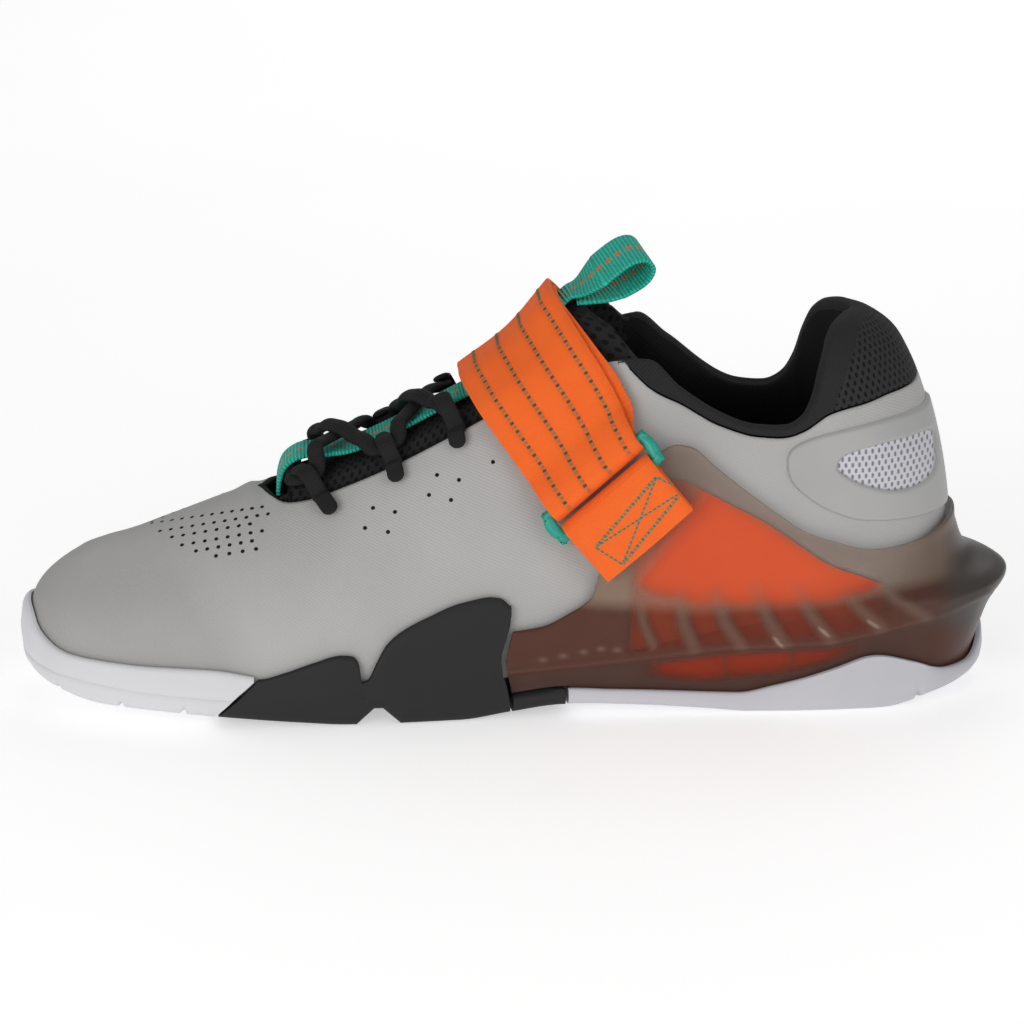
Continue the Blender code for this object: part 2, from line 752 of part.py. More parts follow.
def grooved(shares, grooves):
    """The underside's height at each share, with grooves of (place, width, depth) cut across it."""
    low = tread(shares)
    for place, width, depth in grooves:
        reach = np.abs(along(shares) - along(place)) / (width / 2)
        low = low + depth * np.clip(1.25 * (1 - reach), 0, 1)
    return low


def groove_places(grooves):
    """Columns at each groove's two sides and along its floor."""
    found = []
    for place, width, _ in grooves:
        half = width / 2 / UPPER_LENGTH
        found += [place - half, place - 0.2 * half, place + 0.2 * half, place + half]
    return found


TOE_GROOVES = tuple((place, GROOVE_WIDTH, TREAD_DEPTH) for place in (0.035, 0.100, 0.165))
FLEX_NOTCH = (0.3735, FLEX_NOTCH_WIDTH, FLEX_NOTCH_DEPTH)
WRAP_GROOVES = (FLEX_NOTCH,)
HEEL_GROOVES = ((0.945, GROOVE_WIDTH, TREAD_DEPTH),)


def joint_shift(base, height):
    """How far forward the slanting joint of white and black moves a column at a height."""
    low_place, high_place = WRAP_JOINT
    top = bed(base) + 0.205 * HEEL_STACK
    level = np.clip((height - tread(base)) / (top - tread(base)), 0, 1)
    reach = 0.10
    near = np.clip(1 - np.abs(base - low_place) / reach, 0, 1) ** 2
    return (high_place - low_place) * level * near


def hollow_shift(base, height):
    """How far forward the tall wing's hollow back edge moves a column at a height."""
    near = np.clip(1 - np.abs(base - WRAP_BACK) / 0.030, 0, 1)
    depth = np.exp(-(((height / HEEL_STACK - 0.61) / 0.27) ** 2))
    return WRAP_BACK_HOLLOW * depth * near


def make_toe_sole(look):
    """White forefoot sole with its raised toe bumper, as a cup that the upper stands in."""
    base = stations(0.0, WRAP_JOINT[0] - 3 * GAP / UPPER_LENGTH, groove_places(TOE_GROOVES))
    floor_z = grooved(base, TOE_GROOVES)
    sides = {}
    for side in SIDES:
        points = []

        def at(part, lift, outward, height=None):
            """part runs from the bed (0) to the foxing's top (1)."""

            def z_at(shares):
                if height is not None:
                    return height + lift
                low = bed(shares)
                return low + part * column_of(FOXING_TOP, "height", shares) * HEEL_STACK + lift

            shares = base + joint_shift(base, z_at(base))
            points.append(skin(side, shares, z_at(shares), outward))

        out = sole_out(base)
        thick, snug = np.full_like(out, FOXING), np.full_like(out, 2 * GAP)
        at(0, 0.0, out - 0.0075, floor_z)
        at(0, 0.0, out - 0.0022, floor_z)
        at(0, 0.0022, out - 0.0003, floor_z)
        at(0.0, 0.0, out + 0.0004)
        at(0.4, 0.0, (out + thick) / 2 + 0.0003)
        at(0.8, 0.0, thick)
        at(1.0, 0.0, thick - 0.0008)
        at(1.0, -0.0002, snug)
        at(0.72, 0.0, snug)
        at(0.38, 0.0, snug)
        at(0.0, -GAP, snug)
        at(0.0, -GAP, snug - 0.0046)
        sides[side] = np.stack(points, 1)
    return loft("toe_sole", across(sides[MEDIAL], sides[LATERAL]), look, cap_start=False, cap=cup_cap())


def make_midfoot_wrap(look):
    """Black forefoot rubber with a low wing and a tall wing up each side."""
    wing_places = [row[0] for row in WRAP_TOP[2:] if row[0] not in (0.346, 0.485)]
    base = stations(WRAP_JOINT[0], WRAP_BACK, [*groove_places(WRAP_GROOVES), *wing_places])
    base = np.array([s for i, s in enumerate(base) if i == 0 or s - base[i - 1] > 0.0008])
    floor_z = grooved(base, WRAP_GROOVES)
    sides = {}
    for side in SIDES:
        points = []

        def at(part, lift, outward, height=None):
            def z_at(shares):
                if height is not None:
                    return height + lift
                rim = column_of(WRAP_TOP, "height", np.minimum(shares, WRAP_BACK)) * HEEL_STACK
                return bed(shares) + part * rim + lift

            shares = base + joint_shift(base, z_at(base)) - hollow_shift(base, z_at(base))
            points.append(skin(side, shares, z_at(shares), outward))

        out = sole_out(base)
        thick, snug = np.full_like(out, FOXING), np.full_like(out, 2 * GAP)
        at(0, 0.0, out - 0.0075, floor_z)
        at(0, 0.0, out - 0.0022, floor_z)
        at(0, 0.0025, out - 0.0002, floor_z)
        at(0.0, -0.0008, out + 0.0004)
        at(0.35, 0.0, thick)
        at(0.75, 0.0, thick)
        at(1.0, 0.0, thick - 0.0010)
        at(1.0, -0.0003, snug)
        at(0.70, 0.0, snug)
        at(0.32, 0.0, snug)
        at(0.0, -2 * GAP, snug)
        at(0.0, -2 * GAP, snug - 0.0046)
        sides[side] = np.stack(points, 1)
    return loft("midfoot_wrap", across(sides[MEDIAL], sides[LATERAL]), look, cap=cup_cap())


def make_arch_plate(look):
    """Thin black rubber that carries on under the front of the heel cage."""
    shares = stations(WRAP_BACK + 3 * GAP / UPPER_LENGTH, WRAP_END)
    low, out = tread(shares), sole_out(shares)
    rows = (
        (low, out - 0.0075),
        (low, out - 0.0022),
        (low + 0.0018, out - 0.0003),
        (low + WRAP_TAIL, out - 0.0008),
        (low + WRAP_TAIL, out - 0.0075),
    )
    sides = {side: np.stack([skin(side, shares, z, o) for z, o in rows], 1) for side in SIDES}
    return loft("arch_plate", across(sides[MEDIAL], sides[LATERAL]), look)


def outsole_edge(share):
    """Height of the white outsole's top edge round the heel."""
    return column_of(CAGE, "outsole", share) * HEEL_STACK


def core_top(share):
    return bed(share) - GAP


def heel_foot(share):
    """Height of the underside of core and cage: over the wrap's thin end, then over the outsole."""
    over_wrap = tread(share) + WRAP_TAIL + 2 * GAP
    return np.where(share < WRAP_END + 0.006, over_wrap, tread(share) + OUTSOLE_FLOOR + GAP)


def core_out(share):
    """How far the core's foot stands outside the plan outline."""
    return sole_out(share) - OUTSOLE_RIM - CAGE_FOOT - 3 * GAP


def core_top_out(share):
    return np.minimum(core_out(share), 0.0010 + 0.25 * core_out(share))


HEEL_START = WRAP_END + 3 * GAP / UPPER_LENGTH
CORE_START = WRAP_BACK + 0.005
CAGE_START = WRAP_BACK + 4 * GAP / UPPER_LENGTH
HEEL_PLACES = (0.577, 0.581)


def make_heel_outsole(look):
    """White heel tread: a flat floor with a rim that peaks at each side and at the back."""
    places = [*groove_places(HEEL_GROOVES), *HEEL_PLACES, 0.861, 0.905, 0.940, 0.968, 0.986]
    shares = stations(HEEL_START, 1.0, places)
    out = sole_out(shares)
    low = grooved(shares, HEEL_GROOVES)
    rim = np.maximum(outsole_edge(shares), tread(shares) + OUTSOLE_FLOOR + 0.0006)
    well = tread(shares) + OUTSOLE_FLOOR
    inner = out - OUTSOLE_RIM
    rows = (
        (low, out - 0.0085),
        (low, out - 0.0026),
        (low + 0.0016, out - 0.0004),
        ((low + rim) / 2 + 0.0004, out),
        (rim, out - 0.0006),
        (rim - 0.0001, inner),
        (well, inner),
        (well, inner - 0.0060),
    )
    sides = {side: np.stack([skin(side, shares, z, o) for z, o in rows], 1) for side in SIDES}
    return loft("heel_outsole", across(sides[MEDIAL], sides[LATERAL]), look, cap_end=False)


def make_heel_core(look):
    """Orange wedge under the heel, between outsole and foot-bed, seen through the cage."""
    shares = stations(CORE_START, 1.0, HEEL_PLACES)
    foot = np.minimum(heel_foot(shares), core_top(shares) - 0.0006)
    out, top_out = core_out(shares), core_top_out(shares)
    rows = (
        (foot, out - 0.0080),
        (foot, out),
        ((foot + core_top(shares)) / 2, (out + top_out) / 2),
        (core_top(shares), top_out),
        (core_top(shares), top_out - 0.0100),
    )
    sides = {side: np.stack([skin(side, shares, z, o) for z, o in rows], 1) for side in SIDES}
    return loft("heel_core", across(sides[MEDIAL], sides[LATERAL]), look, cap_end=False)


def make_heel_cage(look):
    """Smoked shell round the heel: arms forward to the wrap, a crest that flares behind, an open top."""
    places = [row[0] for row in CAGE[1:] if row[0] not in (0.514, 0.580, 0.608, 0.708, 0.762, 0.830)]
    base = stations(CAGE_START, 1.0, [*places, *HEEL_PLACES])
    base = np.array([s for i, s in enumerate(base) if i == 0 or s - base[i - 1] > 0.0015])

    def top(s):
        return bed(s) + column_of(CAGE, "top", s) * HEEL_STACK

    def crest(s):
        return np.minimum(column_of(CAGE, "crest", s) * HEEL_STACK, top(s) - 0.004)

    def crest_out(s):
        return column_of(CAGE, "crest_out", s) * FLARE

    def low_edge(s):
        return np.maximum(np.minimum(outsole_edge(s), crest(s) - 0.003), heel_foot(s) + 0.0014)

    def foot_out(s):
        return sole_out(s) - OUTSOLE_RIM - 2 * GAP

    def hug(s):
        panel = np.clip((s - 0.596) / 0.02, 0, 1) * np.clip((0.905 - s) / 0.02, 0, 1)
        return 3 * GAP + (PANEL + 3 * GAP) * panel

    def upper_out(s):
        return hug(s) + CAGE_SKIN

    def inner_out(s):
        return core_out(s) + 2 * GAP

    def inner_top_out(s):
        return np.maximum(core_top_out(s) + 2 * GAP, hug(s))

    rows = (
        (heel_foot, foot_out),
        (lambda s: (heel_foot(s) + low_edge(s)) / 2, foot_out),
        (low_edge, foot_out),
        (lambda s: 0.35 * low_edge(s) + 0.65 * crest(s) - 0.0006,
         lambda s: 0.45 * foot_out(s) + 0.55 * crest_out(s) - 0.0004),
        (crest, crest_out),
        (lambda s: 0.88 * crest(s) + 0.12 * top(s) + 0.0008,
         lambda s: 0.86 * crest_out(s) + 0.14 * upper_out(s)),
        (lambda s: 0.62 * crest(s) + 0.38 * top(s), lambda s: 0.22 * crest_out(s) + 0.78 * upper_out(s)),
        (lambda s: 0.25 * crest(s) + 0.75 * top(s), upper_out),
        (top, lambda s: hug(s) + 0.45 * CAGE_SKIN),
        (lambda s: top(s) - 0.0004, hug),
        (lambda s: 0.30 * bed(s) + 0.70 * top(s), hug),
        (lambda s: 0.66 * bed(s) + 0.34 * top(s), hug),
        (bed, inner_top_out),
        (lambda s: 0.5 * heel_foot(s) + 0.5 * core_top(s),
         lambda s: (inner_out(s) + core_top_out(s)) / 2 + 2 * GAP),
        (heel_foot, inner_out),
    )
    sides = {}
    for side in SIDES:
        points = []
        for height_of, out_of in rows:
            shares = base - hollow_shift(base, height_of(base)) * (base > WRAP_BACK)
            points.append(skin(side, shares, height_of(shares), out_of(shares)))
        sides[side] = np.stack(points, 1)
    return loft("heel_cage", around(sides[MEDIAL], sides[LATERAL]), look)


def make_web_panel(side, look):
    """Orange webbing fanned out between upper and cage, one on each side."""
    shares = stations(WEB_PANEL[1][0], WEB_PANEL[-1][0], [WEB_PANEL[2][0]])
    rows = []
    for part in np.linspace(0, 1, 4):
        low = column_of(WEB_PANEL, "low", shares)
        high = column_of(WEB_PANEL, "high", shares)
        rows.append(bed(shares) + HEEL_STACK * (low + (high - low) * part))
    outer = [skin(side, shares, z, 3 * GAP + PANEL) for z in rows]
    inner = [skin(side, shares, z, 3 * GAP) for z in rows[::-1]]
    rings = np.stack([*outer, *inner], 1)
    return loft(f"web_panel_{side}", rings, look)


def make_insole(look):
    shares = even_shares(18, 0.004, 0.996)
    inset = WALL + 0.0009
    low = bed(shares) + GAP
    rows = ((low, -inset - 0.0008), (low + 0.6 * INSOLE, -inset), (low + INSOLE, -inset - 0.0008))
    sides = {}
    for side in SIDES:
        normal = outline(side, shares)[1]
        rim = skin(side, shares, bed(shares), 0)
        rings = []
        for height, out in rows:
            place = rim.copy()
            place[:, :2] += normal[:, :2] * out
            place[:, 2] = height
            rings.append(place)
        sides[side] = np.stack(rings, 1)
    return loft("insole", across(sides[MEDIAL], sides[LATERAL]), look)


# Tongue and webbing

TONGUE_FRONT = 0.272
TONGUE_END = 0.655


def under_wall(side, shares, down, inside):
    """Points a way down from the wall's top edge and a depth inside it."""
    fine = wall(side, shares, SAMPLES)[:, ::-1]
    found = []
    for column in fine:
        run = np.concatenate([[0], np.cumsum(np.linalg.norm(np.diff(column, axis=0), axis=1))])
        spot = [np.interp(down, run, column[:, k]) for k in range(3)]
        ahead = [np.interp(down + 0.002, run, column[:, k]) for k in range(3)]
        dy, dz = ahead[1] - spot[1], ahead[2] - spot[2]
        size = math.hypot(dy, dz)
        inward = side_sign(side) * np.array([0.0, dz, -dy]) / size
        found.append(np.array(spot) + inward * inside)
    return np.array(found)


def tongue_rows(shares):
    """Points across the tongue at each share: tucked under the shell, up over the padded middle."""
    medial, lateral = (wall(side, shares, np.array([1.0]))[:, 0] for side in SIDES)
    middle = (medial + lateral) / 2
    free = np.clip((shares - 0.52) / 0.08, 0, 1)
    back = np.clip((shares - 0.56) / (TONGUE_END - 0.56), 0, 1)
    open_part = np.clip((shares - TONGUE_FRONT) / 0.012, 0, 1)
    tuck = WALL + 2 * GAP + 0.0015
    crown = middle[:, 2] + open_part * (TONGUE_PUFF + TONGUE_RISE * free) - (1 - open_part) * tuck

    def point(sign, part):
        edge = medial if sign < 0 else lateral
        wide = np.maximum(np.abs(edge[:, 1] - middle[:, 1]), 0.0065) * np.where(open_part < 0.99, 0.8, 1.0)
        x = edge[:, 0] - TONGUE_PEAK * back * (1 - part**2)
        if part > 0.9:
            side = MEDIAL if sign < 0 else LATERAL
            beside = (part - 0.965) / 0.035
            tucked = under_wall(side, shares, 0.0006 + 0.0042 * beside, WALL + 3 * GAP)
            y = np.where(open_part < 0.99, wide, np.abs(tucked[:, 1] - middle[:, 1]))
            z = np.where(open_part < 0.99, crown - 0.0016, tucked[:, 2])
        else:
            y = wide * part
            share_up = 0.35 + 0.65 * (1 - part**2.2)
            z = edge[:, 2] + (crown - edge[:, 2]) * share_up
            z = open_part * z + (1 - open_part) * (crown - 0.0012 * part)
        return np.stack([x, middle[:, 1] + sign * y, z], -1)

    parts = (1.0, 0.965, 0.76, 0.46)
    line = [point(-1, part) for part in parts] + [point(-1, 0.0)] + [point(1, part) for part in parts[::-1]]
    return np.stack(line, 1)


def tongue_middle(share):
    return tongue_rows(np.array([share]))[0, 4]


def make_tongue(look):
    shares = np.concatenate([[0.2475, 0.260], stations(TONGUE_FRONT, TONGUE_END)])
    return shell("tongue", {MEDIAL: tongue_rows(shares)}, look, TONGUE)


# The webbing's front end, over the lace's first bar: distance behind the first loops' place on
# the tongue and over it, in lace widths.
BAR_ROUTE = (
    ("behind", "over"),
    (-2.37, -1.52),
    (-2.28, -0.63),
    (-1.96, 0.28),
    (-1.33, 0.85),
    (-0.52, 1.12),
)
# From there down the tongue: share of the length and lift off the tongue, in lace thicknesses.
WEBBING_ROUTE = (
    ("s", "lift"),
    (0.328, 0.9),
    (0.355, 0.2),
    (0.400, 0.2),
    (0.450, 0.2),
    (0.500, 0.2),
    (0.550, 0.2),
    (0.590, 0.2),
    (0.622, 0.2),
)
# Its pull loop: distance behind the tongue's end and over it, in webbing widths.
LOOP_ROUTE = (
    ("behind", "over"),
    (0.06, 0.26),
    (0.44, 0.70),
    (0.80, 1.04),
    (1.08, 1.07),
    (1.24, 0.82),
    (1.20, 0.50),
    (0.94, 0.22),
    (0.62, 0.03),
    (0.42, -0.20),
    (0.16, -0.34),
)


def make_webbing(look):
    """Green webbing down the tongue's middle, folded into a pull loop at the top."""
    place = tongue_middle(LACE_PLACES[0])
    route = [(place[0] + behind * LACE_WIDTH, place[1], place[2] + over * LACE_WIDTH)
             for behind, over in BAR_ROUTE[1:]]
    for share, lift in WEBBING_ROUTE[1:]:
        middle = tongue_middle(share)
        route.append((middle[0], middle[1], middle[2] + GAP + WEBBING / 2 + 0.0006 + lift * LACE))
    end = tongue_middle(TONGUE_END)
    for behind, over in LOOP_ROUTE[1:]:
        route.append((end[0] + behind * WEBBING_WIDTH, end[1], end[2] + over * WEBBING_WIDTH))
    path = smooth_path(route, 44)
    wide = np.tile((0.0, 1.0, 0.0), (len(path), 1))
    return ribbon("tongue_webbing", path, wide, WEBBING_WIDTH, WEBBING, look)


# Laces

LACE_PLACES = (0.309, 0.395, 0.463)  # of the three loops on each side


def lace_up():
    """Square to the instep's slope, in the middle of the laces."""
    low, high = tongue_middle(LACE_PLACES[0]), tongue_middle(LACE_PLACES[-1])
    run = high - low
    up = np.array([-run[2], 0.0, run[0]])
    return up / np.linalg.norm(up)


def hit_from_above(trees, point, up):
    """How far the highest surface stands above a point, square to the instep."""
    best = -0.05
    for tree in trees:
        spot = tree.ray_cast(Vector(point + up * 0.06), Vector(-up))[0]
        if spot is not None:
            best = max(best, float((np.array(spot) - point) @ up))
    return best


def throat_spot(side, place, inset):
    """A point of the throat's edge, moved towards the middle."""
    edge = wall(side, np.array([place]), np.array([1.0]))[0, 0]
    return np.array([edge[0], edge[1] - side_sign(side) * inset, edge[2]])


def taut(heights):
    """Lifts the middle heights of a row so that it is never hollow, as a tight lace."""
    heights = list(heights)
    changed = True
    while changed:
        changed = False
        for i in range(1, len(heights) - 1):
            straight = (heights[i - 1] + heights[i + 1]) / 2
            if heights[i] < straight - 1e-6:
                heights[i] = straight
                changed = True
    return np.array(heights)


def lace_run(trees, start, end, over, count=9):
    """One crossing from loop to loop over the tongue; the upper one steps over the lower one."""
    up = lace_up()
    along_run = (end - start) / np.linalg.norm(end - start)
    beside = np.cross(along_run, up)
    half = LACE_WIDTH / 2
    patch = [along_run * a * half + beside * b * half for a in (-1, 0, 1) for b in (-1, 0, 1)]
    parts = np.linspace(0, 1, count)
    base = [start + (end - start) * part for part in parts]
    heights = [max(hit_from_above(trees, point + step, up) for step in patch) for point in base]
    heights = taut(heights) + LACE / 2 + 2 * GAP
    if over:
        heights = heights + (LACE + 2 * GAP) * np.exp(-(((parts - 0.5) / 0.22) ** 4))
    return [point + up * height for point, height in zip(base, heights)]


def make_lace(look, trees):
    """One lace from the top loops down to the first loops and back, in crossings and a bar."""
    spots = {side: [throat_spot(side, place, 0.0042) for place in LACE_PLACES] for side in SIDES}
    m, l = spots[MEDIAL], spots[LATERAL]
    ahead = np.cross((0.0, 1.0, 0.0), lace_up()) * LACE_WIDTH * 0.75
    route = []
    runs = (
        (trees, l[2], m[1] + ahead, False),
        (trees, m[1] - ahead, l[0] + ahead, True),
        (trees[:1], l[0] - ahead, m[0] - ahead, False),
        (trees, m[0] + ahead, l[1] - ahead, False),
        (trees, l[1] + ahead, m[2], True),
    )
    for run_trees, start, end, over in runs:
        route.extend(lace_run(run_trees, start, end, over))
    cleaned = [route[0]]
    for point in route[1:]:
        if np.linalg.norm(point - cleaned[-1]) > 0.0012:
            cleaned.append(point)
    path = smooth_path(cleaned, 66)
    up = np.tile(lace_up(), (len(path), 1))
    up[:, 1] += path[:, 1] * 20
    return loft("lace", oval_tube(path, up, LACE_WIDTH, LACE, 6), look)


def make_lace_loop(side, number, look, trees):
    """A loop sewn flat on the shell that comes over the throat's edge and holds the lace."""
    place = np.array([LACE_PLACES[number]])
    up = lace_up()
    ahead = np.cross((0.0, 1.0, 0.0), up)
    inward = -side_sign(side) * np.array([0.0, 1.0, 0.0])
    edge = wall(side, place, np.array([1.0]))[0, 0]
    base = [under_wall(side, place, down, 0.0)[0] for down in np.linspace(LOOP_LENGTH, 0.0005, 6)]
    base += [edge + inward * inset for inset in (0.0018, 0.0036, 0.0054, 0.0070)]
    steps = [(a, b) for a in (-1, 0, 1) for b in (-2, -1, 0, 1, 2)]
    patch = [ahead * a * LOOP_WIDTH / 2 + inward * b * 0.0013 for a, b in steps]
    route = []
    for point in base:
        over = max(hit_from_above(trees, point + step, up) for step in patch)
        route.append(point + up * (over + LOOP / 2 + 3 * GAP))
    path = smooth_path(route, 11)
    wide = np.tile(ahead, (len(path), 1))
    return ribbon(f"lace_loop_{side}_{number + 1}", path, wide, LOOP_WIDTH, LOOP, look)


# Strap and ring

STRAP_LEAN = math.radians(40)  # of the strap's width against the floor
STRAP_AXIS = (0.612, -0.030, 0.625)  # s, ball widths, upper heights above the bed
RING_ANGLE = 92.0  # degrees from the top of the instep, towards the medial side
TAB_ANGLE = 121.0
LATERAL_END = 119.0
FREE_END = 97.0
STRAP_DRIFT = 0.0045
STRAP_TAPER = 0.13  # of the width, from the instep to the ring
STRAP_LANES = (-0.5, 0.0, 0.5)
LANE_RAYS = 11  # across the strap's width, to feel what lies below


def strap_frame():
    share, side, up = STRAP_AXIS
    axis = np.array([along(share), side * BALL_WIDTH, bed(np.array([share]))[0] + up * UPPER_HEIGHT])
    wide = np.array([math.cos(STRAP_LEAN), 0.0, math.sin(STRAP_LEAN)])
    top = np.array([-math.sin(STRAP_LEAN), 0.0, math.cos(STRAP_LEAN)])
    return axis, wide, top


def strap_way(angle, top):
    """Direction away from the strap's axis at an angle from the instep, lateral positive."""
    return top * math.cos(math.radians(angle)) + np.array([0.0, math.sin(math.radians(angle)), 0.0])


def hull_radius(angles, radii):
    """Radii of the tight band round points given by angle and radius."""
    spots = [(r * math.sin(math.radians(a)), r * math.cos(math.radians(a))) for a, r in zip(angles, radii)]
    keep = []
    for spot in spots:
        while len(keep) > 1:
            (ax, ay), (bx, by) = keep[-2:]
            if (bx - ax) * (spot[1] - ay) - (by - ay) * (spot[0] - ax) < 0:
                break
            keep.pop()
        keep.append(spot)
    found = []
    for a in angles:
        way = (math.sin(math.radians(a)), math.cos(math.radians(a)))
        best = 0.0
        for (ax, ay), (bx, by) in zip(keep, keep[1:]):
            ex, ey = bx - ax, by - ay
            cross = way[0] * ey - way[1] * ex
            if abs(cross) < 1e-12:
                continue
            radius = (ax * ey - ay * ex) / cross
            part = ((way[0] * radius - ax) * ex + (way[1] * radius - ay) * ey) / (ex * ex + ey * ey)
            if -1e-6 <= part <= 1 + 1e-6:
                best = max(best, radius)
        found.append(best)
    return np.array(found)


def strap_bed(trees, angles):
    """For every lane of the strap, the tight band over everything below it, angle by angle."""
    _, _, top = strap_frame()
    fine = np.linspace(STRAP_LANES[0] - 0.02, STRAP_LANES[-1] + 0.02, LANE_RAYS)
    radii = np.zeros((len(fine), len(angles)))
    for i, lane in enumerate(fine):
        for j, angle in enumerate(angles):
            way = strap_way(angle, top)
            middle = lane_middle(lane, angle)
            for tree in trees:
                spot = tree.ray_cast(Vector(middle + way * 0.12), Vector(-way), 0.12)[0]
                if spot is not None:
                    radii[i, j] = max(radii[i, j], float((np.array(spot) - middle) @ way))
    near = [np.abs(fine - lane) < 0.30 for lane in STRAP_LANES]
    found = np.array([hull_radius(angles, radii[pick].max(0)) for pick in near])
    flat = np.clip((24 - np.abs(np.asarray(angles) + RING_ANGLE)) / 10, 0, 1)
    straight = (found[0] + found[-1]) / 2
    found[1] = found[1] * (1 - flat) + straight * flat
    found += flat * np.maximum(hull_radius(angles, radii.max(0)) - straight, 0)
    return found


def lane_middle(lane, angle):
    """Middle of the strap's bend for a lane, at an angle."""
    axis, wide, _ = strap_frame()
    level = math.cos(math.radians(min(abs(angle), 90)))
    width = STRAP_WIDTH * (1 - STRAP_TAPER * (1 - level))
    return axis + wide * (lane * width + STRAP_DRIFT * level)


def over_bed(lane, radii, bed_angles, angle, over, sideways=0.0):
    """A point over the strap's bed, measured square to it and along it."""
    _, _, top = strap_frame()

    def flat(a):
        radius = np.interp(a, bed_angles, radii)
        return np.array([radius * math.sin(math.radians(a)), radius * math.cos(math.radians(a))])

    spot, run = flat(angle), flat(angle + 5) - flat(angle - 5)
    run /= np.linalg.norm(run)
    spot = spot + np.array([-run[1], run[0]]) * over + run * sideways
    return lane_middle(lane, angle) + top * spot[1] + np.array([0.0, spot[0], 0.0])


def band_grid(path, trees_bed, bed_angles):
    """Points of a band: path rows are (angle, height over the bed, way along it), a point per lane."""
    return np.array([
        [over_bed(lane, radii, bed_angles, *row) for lane, radii in zip(STRAP_LANES, trees_bed)]
        for row in path
    ])


def thick_band(name, grid, thickness, look):
    """A solid band of even thickness on a grid of points, rows along the band."""
    run = np.gradient(grid, axis=0)
    cross = np.gradient(grid, axis=1)
    normal = np.cross(run, cross)
    normal /= np.linalg.norm(normal, axis=-1, keepdims=True)
    half = normal * thickness / 2
    rings = np.concatenate([grid + half, (grid - half)[:, ::-1]], axis=1)
    return loft(name, rings, look)


UNDER = 4 * GAP + STRAP / 2  # the lower layer's middle above what it lies on
OVER = UNDER + STRAP + 2 * GAP
BAR_HEIGHT = UNDER + STRAP / 2 + GAP + RING_BAR / 2


def degrees_for(length, radius):
    return math.degrees(length / radius)


def folded(bar, step, toward):
    """Rows of a fold round a bar, then down over the lower layer. toward is the way to the slot."""
    turn_radius = RING_BAR / 2 + GAP + STRAP / 2
    rows = []
    for swing in np.linspace(-90, 90, 8):
        sideways = toward * turn_radius * math.cos(math.radians(swing))
        rows.append((bar, BAR_HEIGHT + turn_radius * math.sin(math.radians(swing)), sideways))
    fall = BAR_HEIGHT + turn_radius - OVER
    for way, part in ((0.8, 0.86), (1.7, 0.45), (2.8, 0.10)):
        rows.append((bar - toward * way * step, OVER + fall * part, 0.0))
    return rows


def make_strap(look, trees):
    """Orange strap: up from the lateral side, over the instep, through the ring and back."""
    angles = np.arange(-134.0, 135.0, 2.0)
    below = strap_bed(trees, angles)
    radius = float(np.interp(-RING_ANGLE, angles, below[1])) + BAR_HEIGHT
    step = degrees_for((RING_SLOT + RING_BAR) / 2, radius)
    bar = -RING_ANGLE + step
    way = np.linspace(LATERAL_END, bar + 0.9 * step, 36)
    lower = [(a, UNDER, 0.0) for a in way]
    upper = [(a, OVER, 0.0) for a in way[::-1] if bar + 3.4 * step < a <= FREE_END]
    grid = band_grid([*lower, *folded(bar, step, -1), *upper], below, angles)
    strap = thick_band("strap", grid, STRAP, look)
    bar = -RING_ANGLE - step
    way = np.linspace(-TAB_ANGLE, bar - 0.9 * step, 6)
    lower = [(a, UNDER, 0.0) for a in way]
    upper = [(a, OVER, 0.0) for a in way[::-1] if a < bar - 3.0 * step]
    grid = band_grid([*lower, *folded(bar, step, 1), *upper], below, angles)
    thick_band("strap_anchor", grid, STRAP, look)
    return strap, below, angles


def make_ring(look, below, angles):
    """Slotted oval ring: a round bar bent to a long loop, lying over the shell."""
    _, wide, top = strap_frame()
    half = STRAP_WIDTH * (1 - STRAP_TAPER) / 2
    bend = (RING_SLOT + RING_BAR) / 2
    spots = []
    for corner in (1, -1):
        for step in np.linspace(-90, 90, 7):
            swing = math.radians(step)
            lane = corner * (half + GAP + RING_OVERHANG * math.cos(swing))
            rise = corner * -bend * math.sin(swing)
            spots.append((lane, rise))
    path = []
    radius = float(np.interp(-RING_ANGLE, angles, below[1])) + BAR_HEIGHT
    for lane, rise in spots:
        angle = -RING_ANGLE + degrees_for(rise, radius)
        share = np.clip(lane / (2 * half), -0.5, 0.5)
        across_bed = np.array([over_bed(0.0, row, angles, angle, BAR_HEIGHT) for row in below])
        height = [np.interp(share, STRAP_LANES, across_bed[:, k]) for k in range(3)]
        path.append(np.array(height) + wide * lane)
    path = np.array(path)
    run = np.roll(path, -1, 0) - np.roll(path, 1, 0)
    run /= np.linalg.norm(run, axis=1, keepdims=True)
    out = strap_way(-RING_ANGLE, top)
    side = np.cross(run, out)
    side /= np.linalg.norm(side, axis=1, keepdims=True)
    lift = np.cross(side, run)
    swing = np.linspace(0, 2 * math.pi, 8, endpoint=False)
    rings = (path[:, None] + side[:, None] * np.cos(swing)[None, :, None] * RING_BAR / 2
             + lift[:, None] * np.sin(swing)[None, :, None] * RING_BAR / 2)
    faces = loft_faces(len(rings), 8, closed_path=True)
    return solid_object("strap_ring", rings.reshape(-1, 3), faces, look)


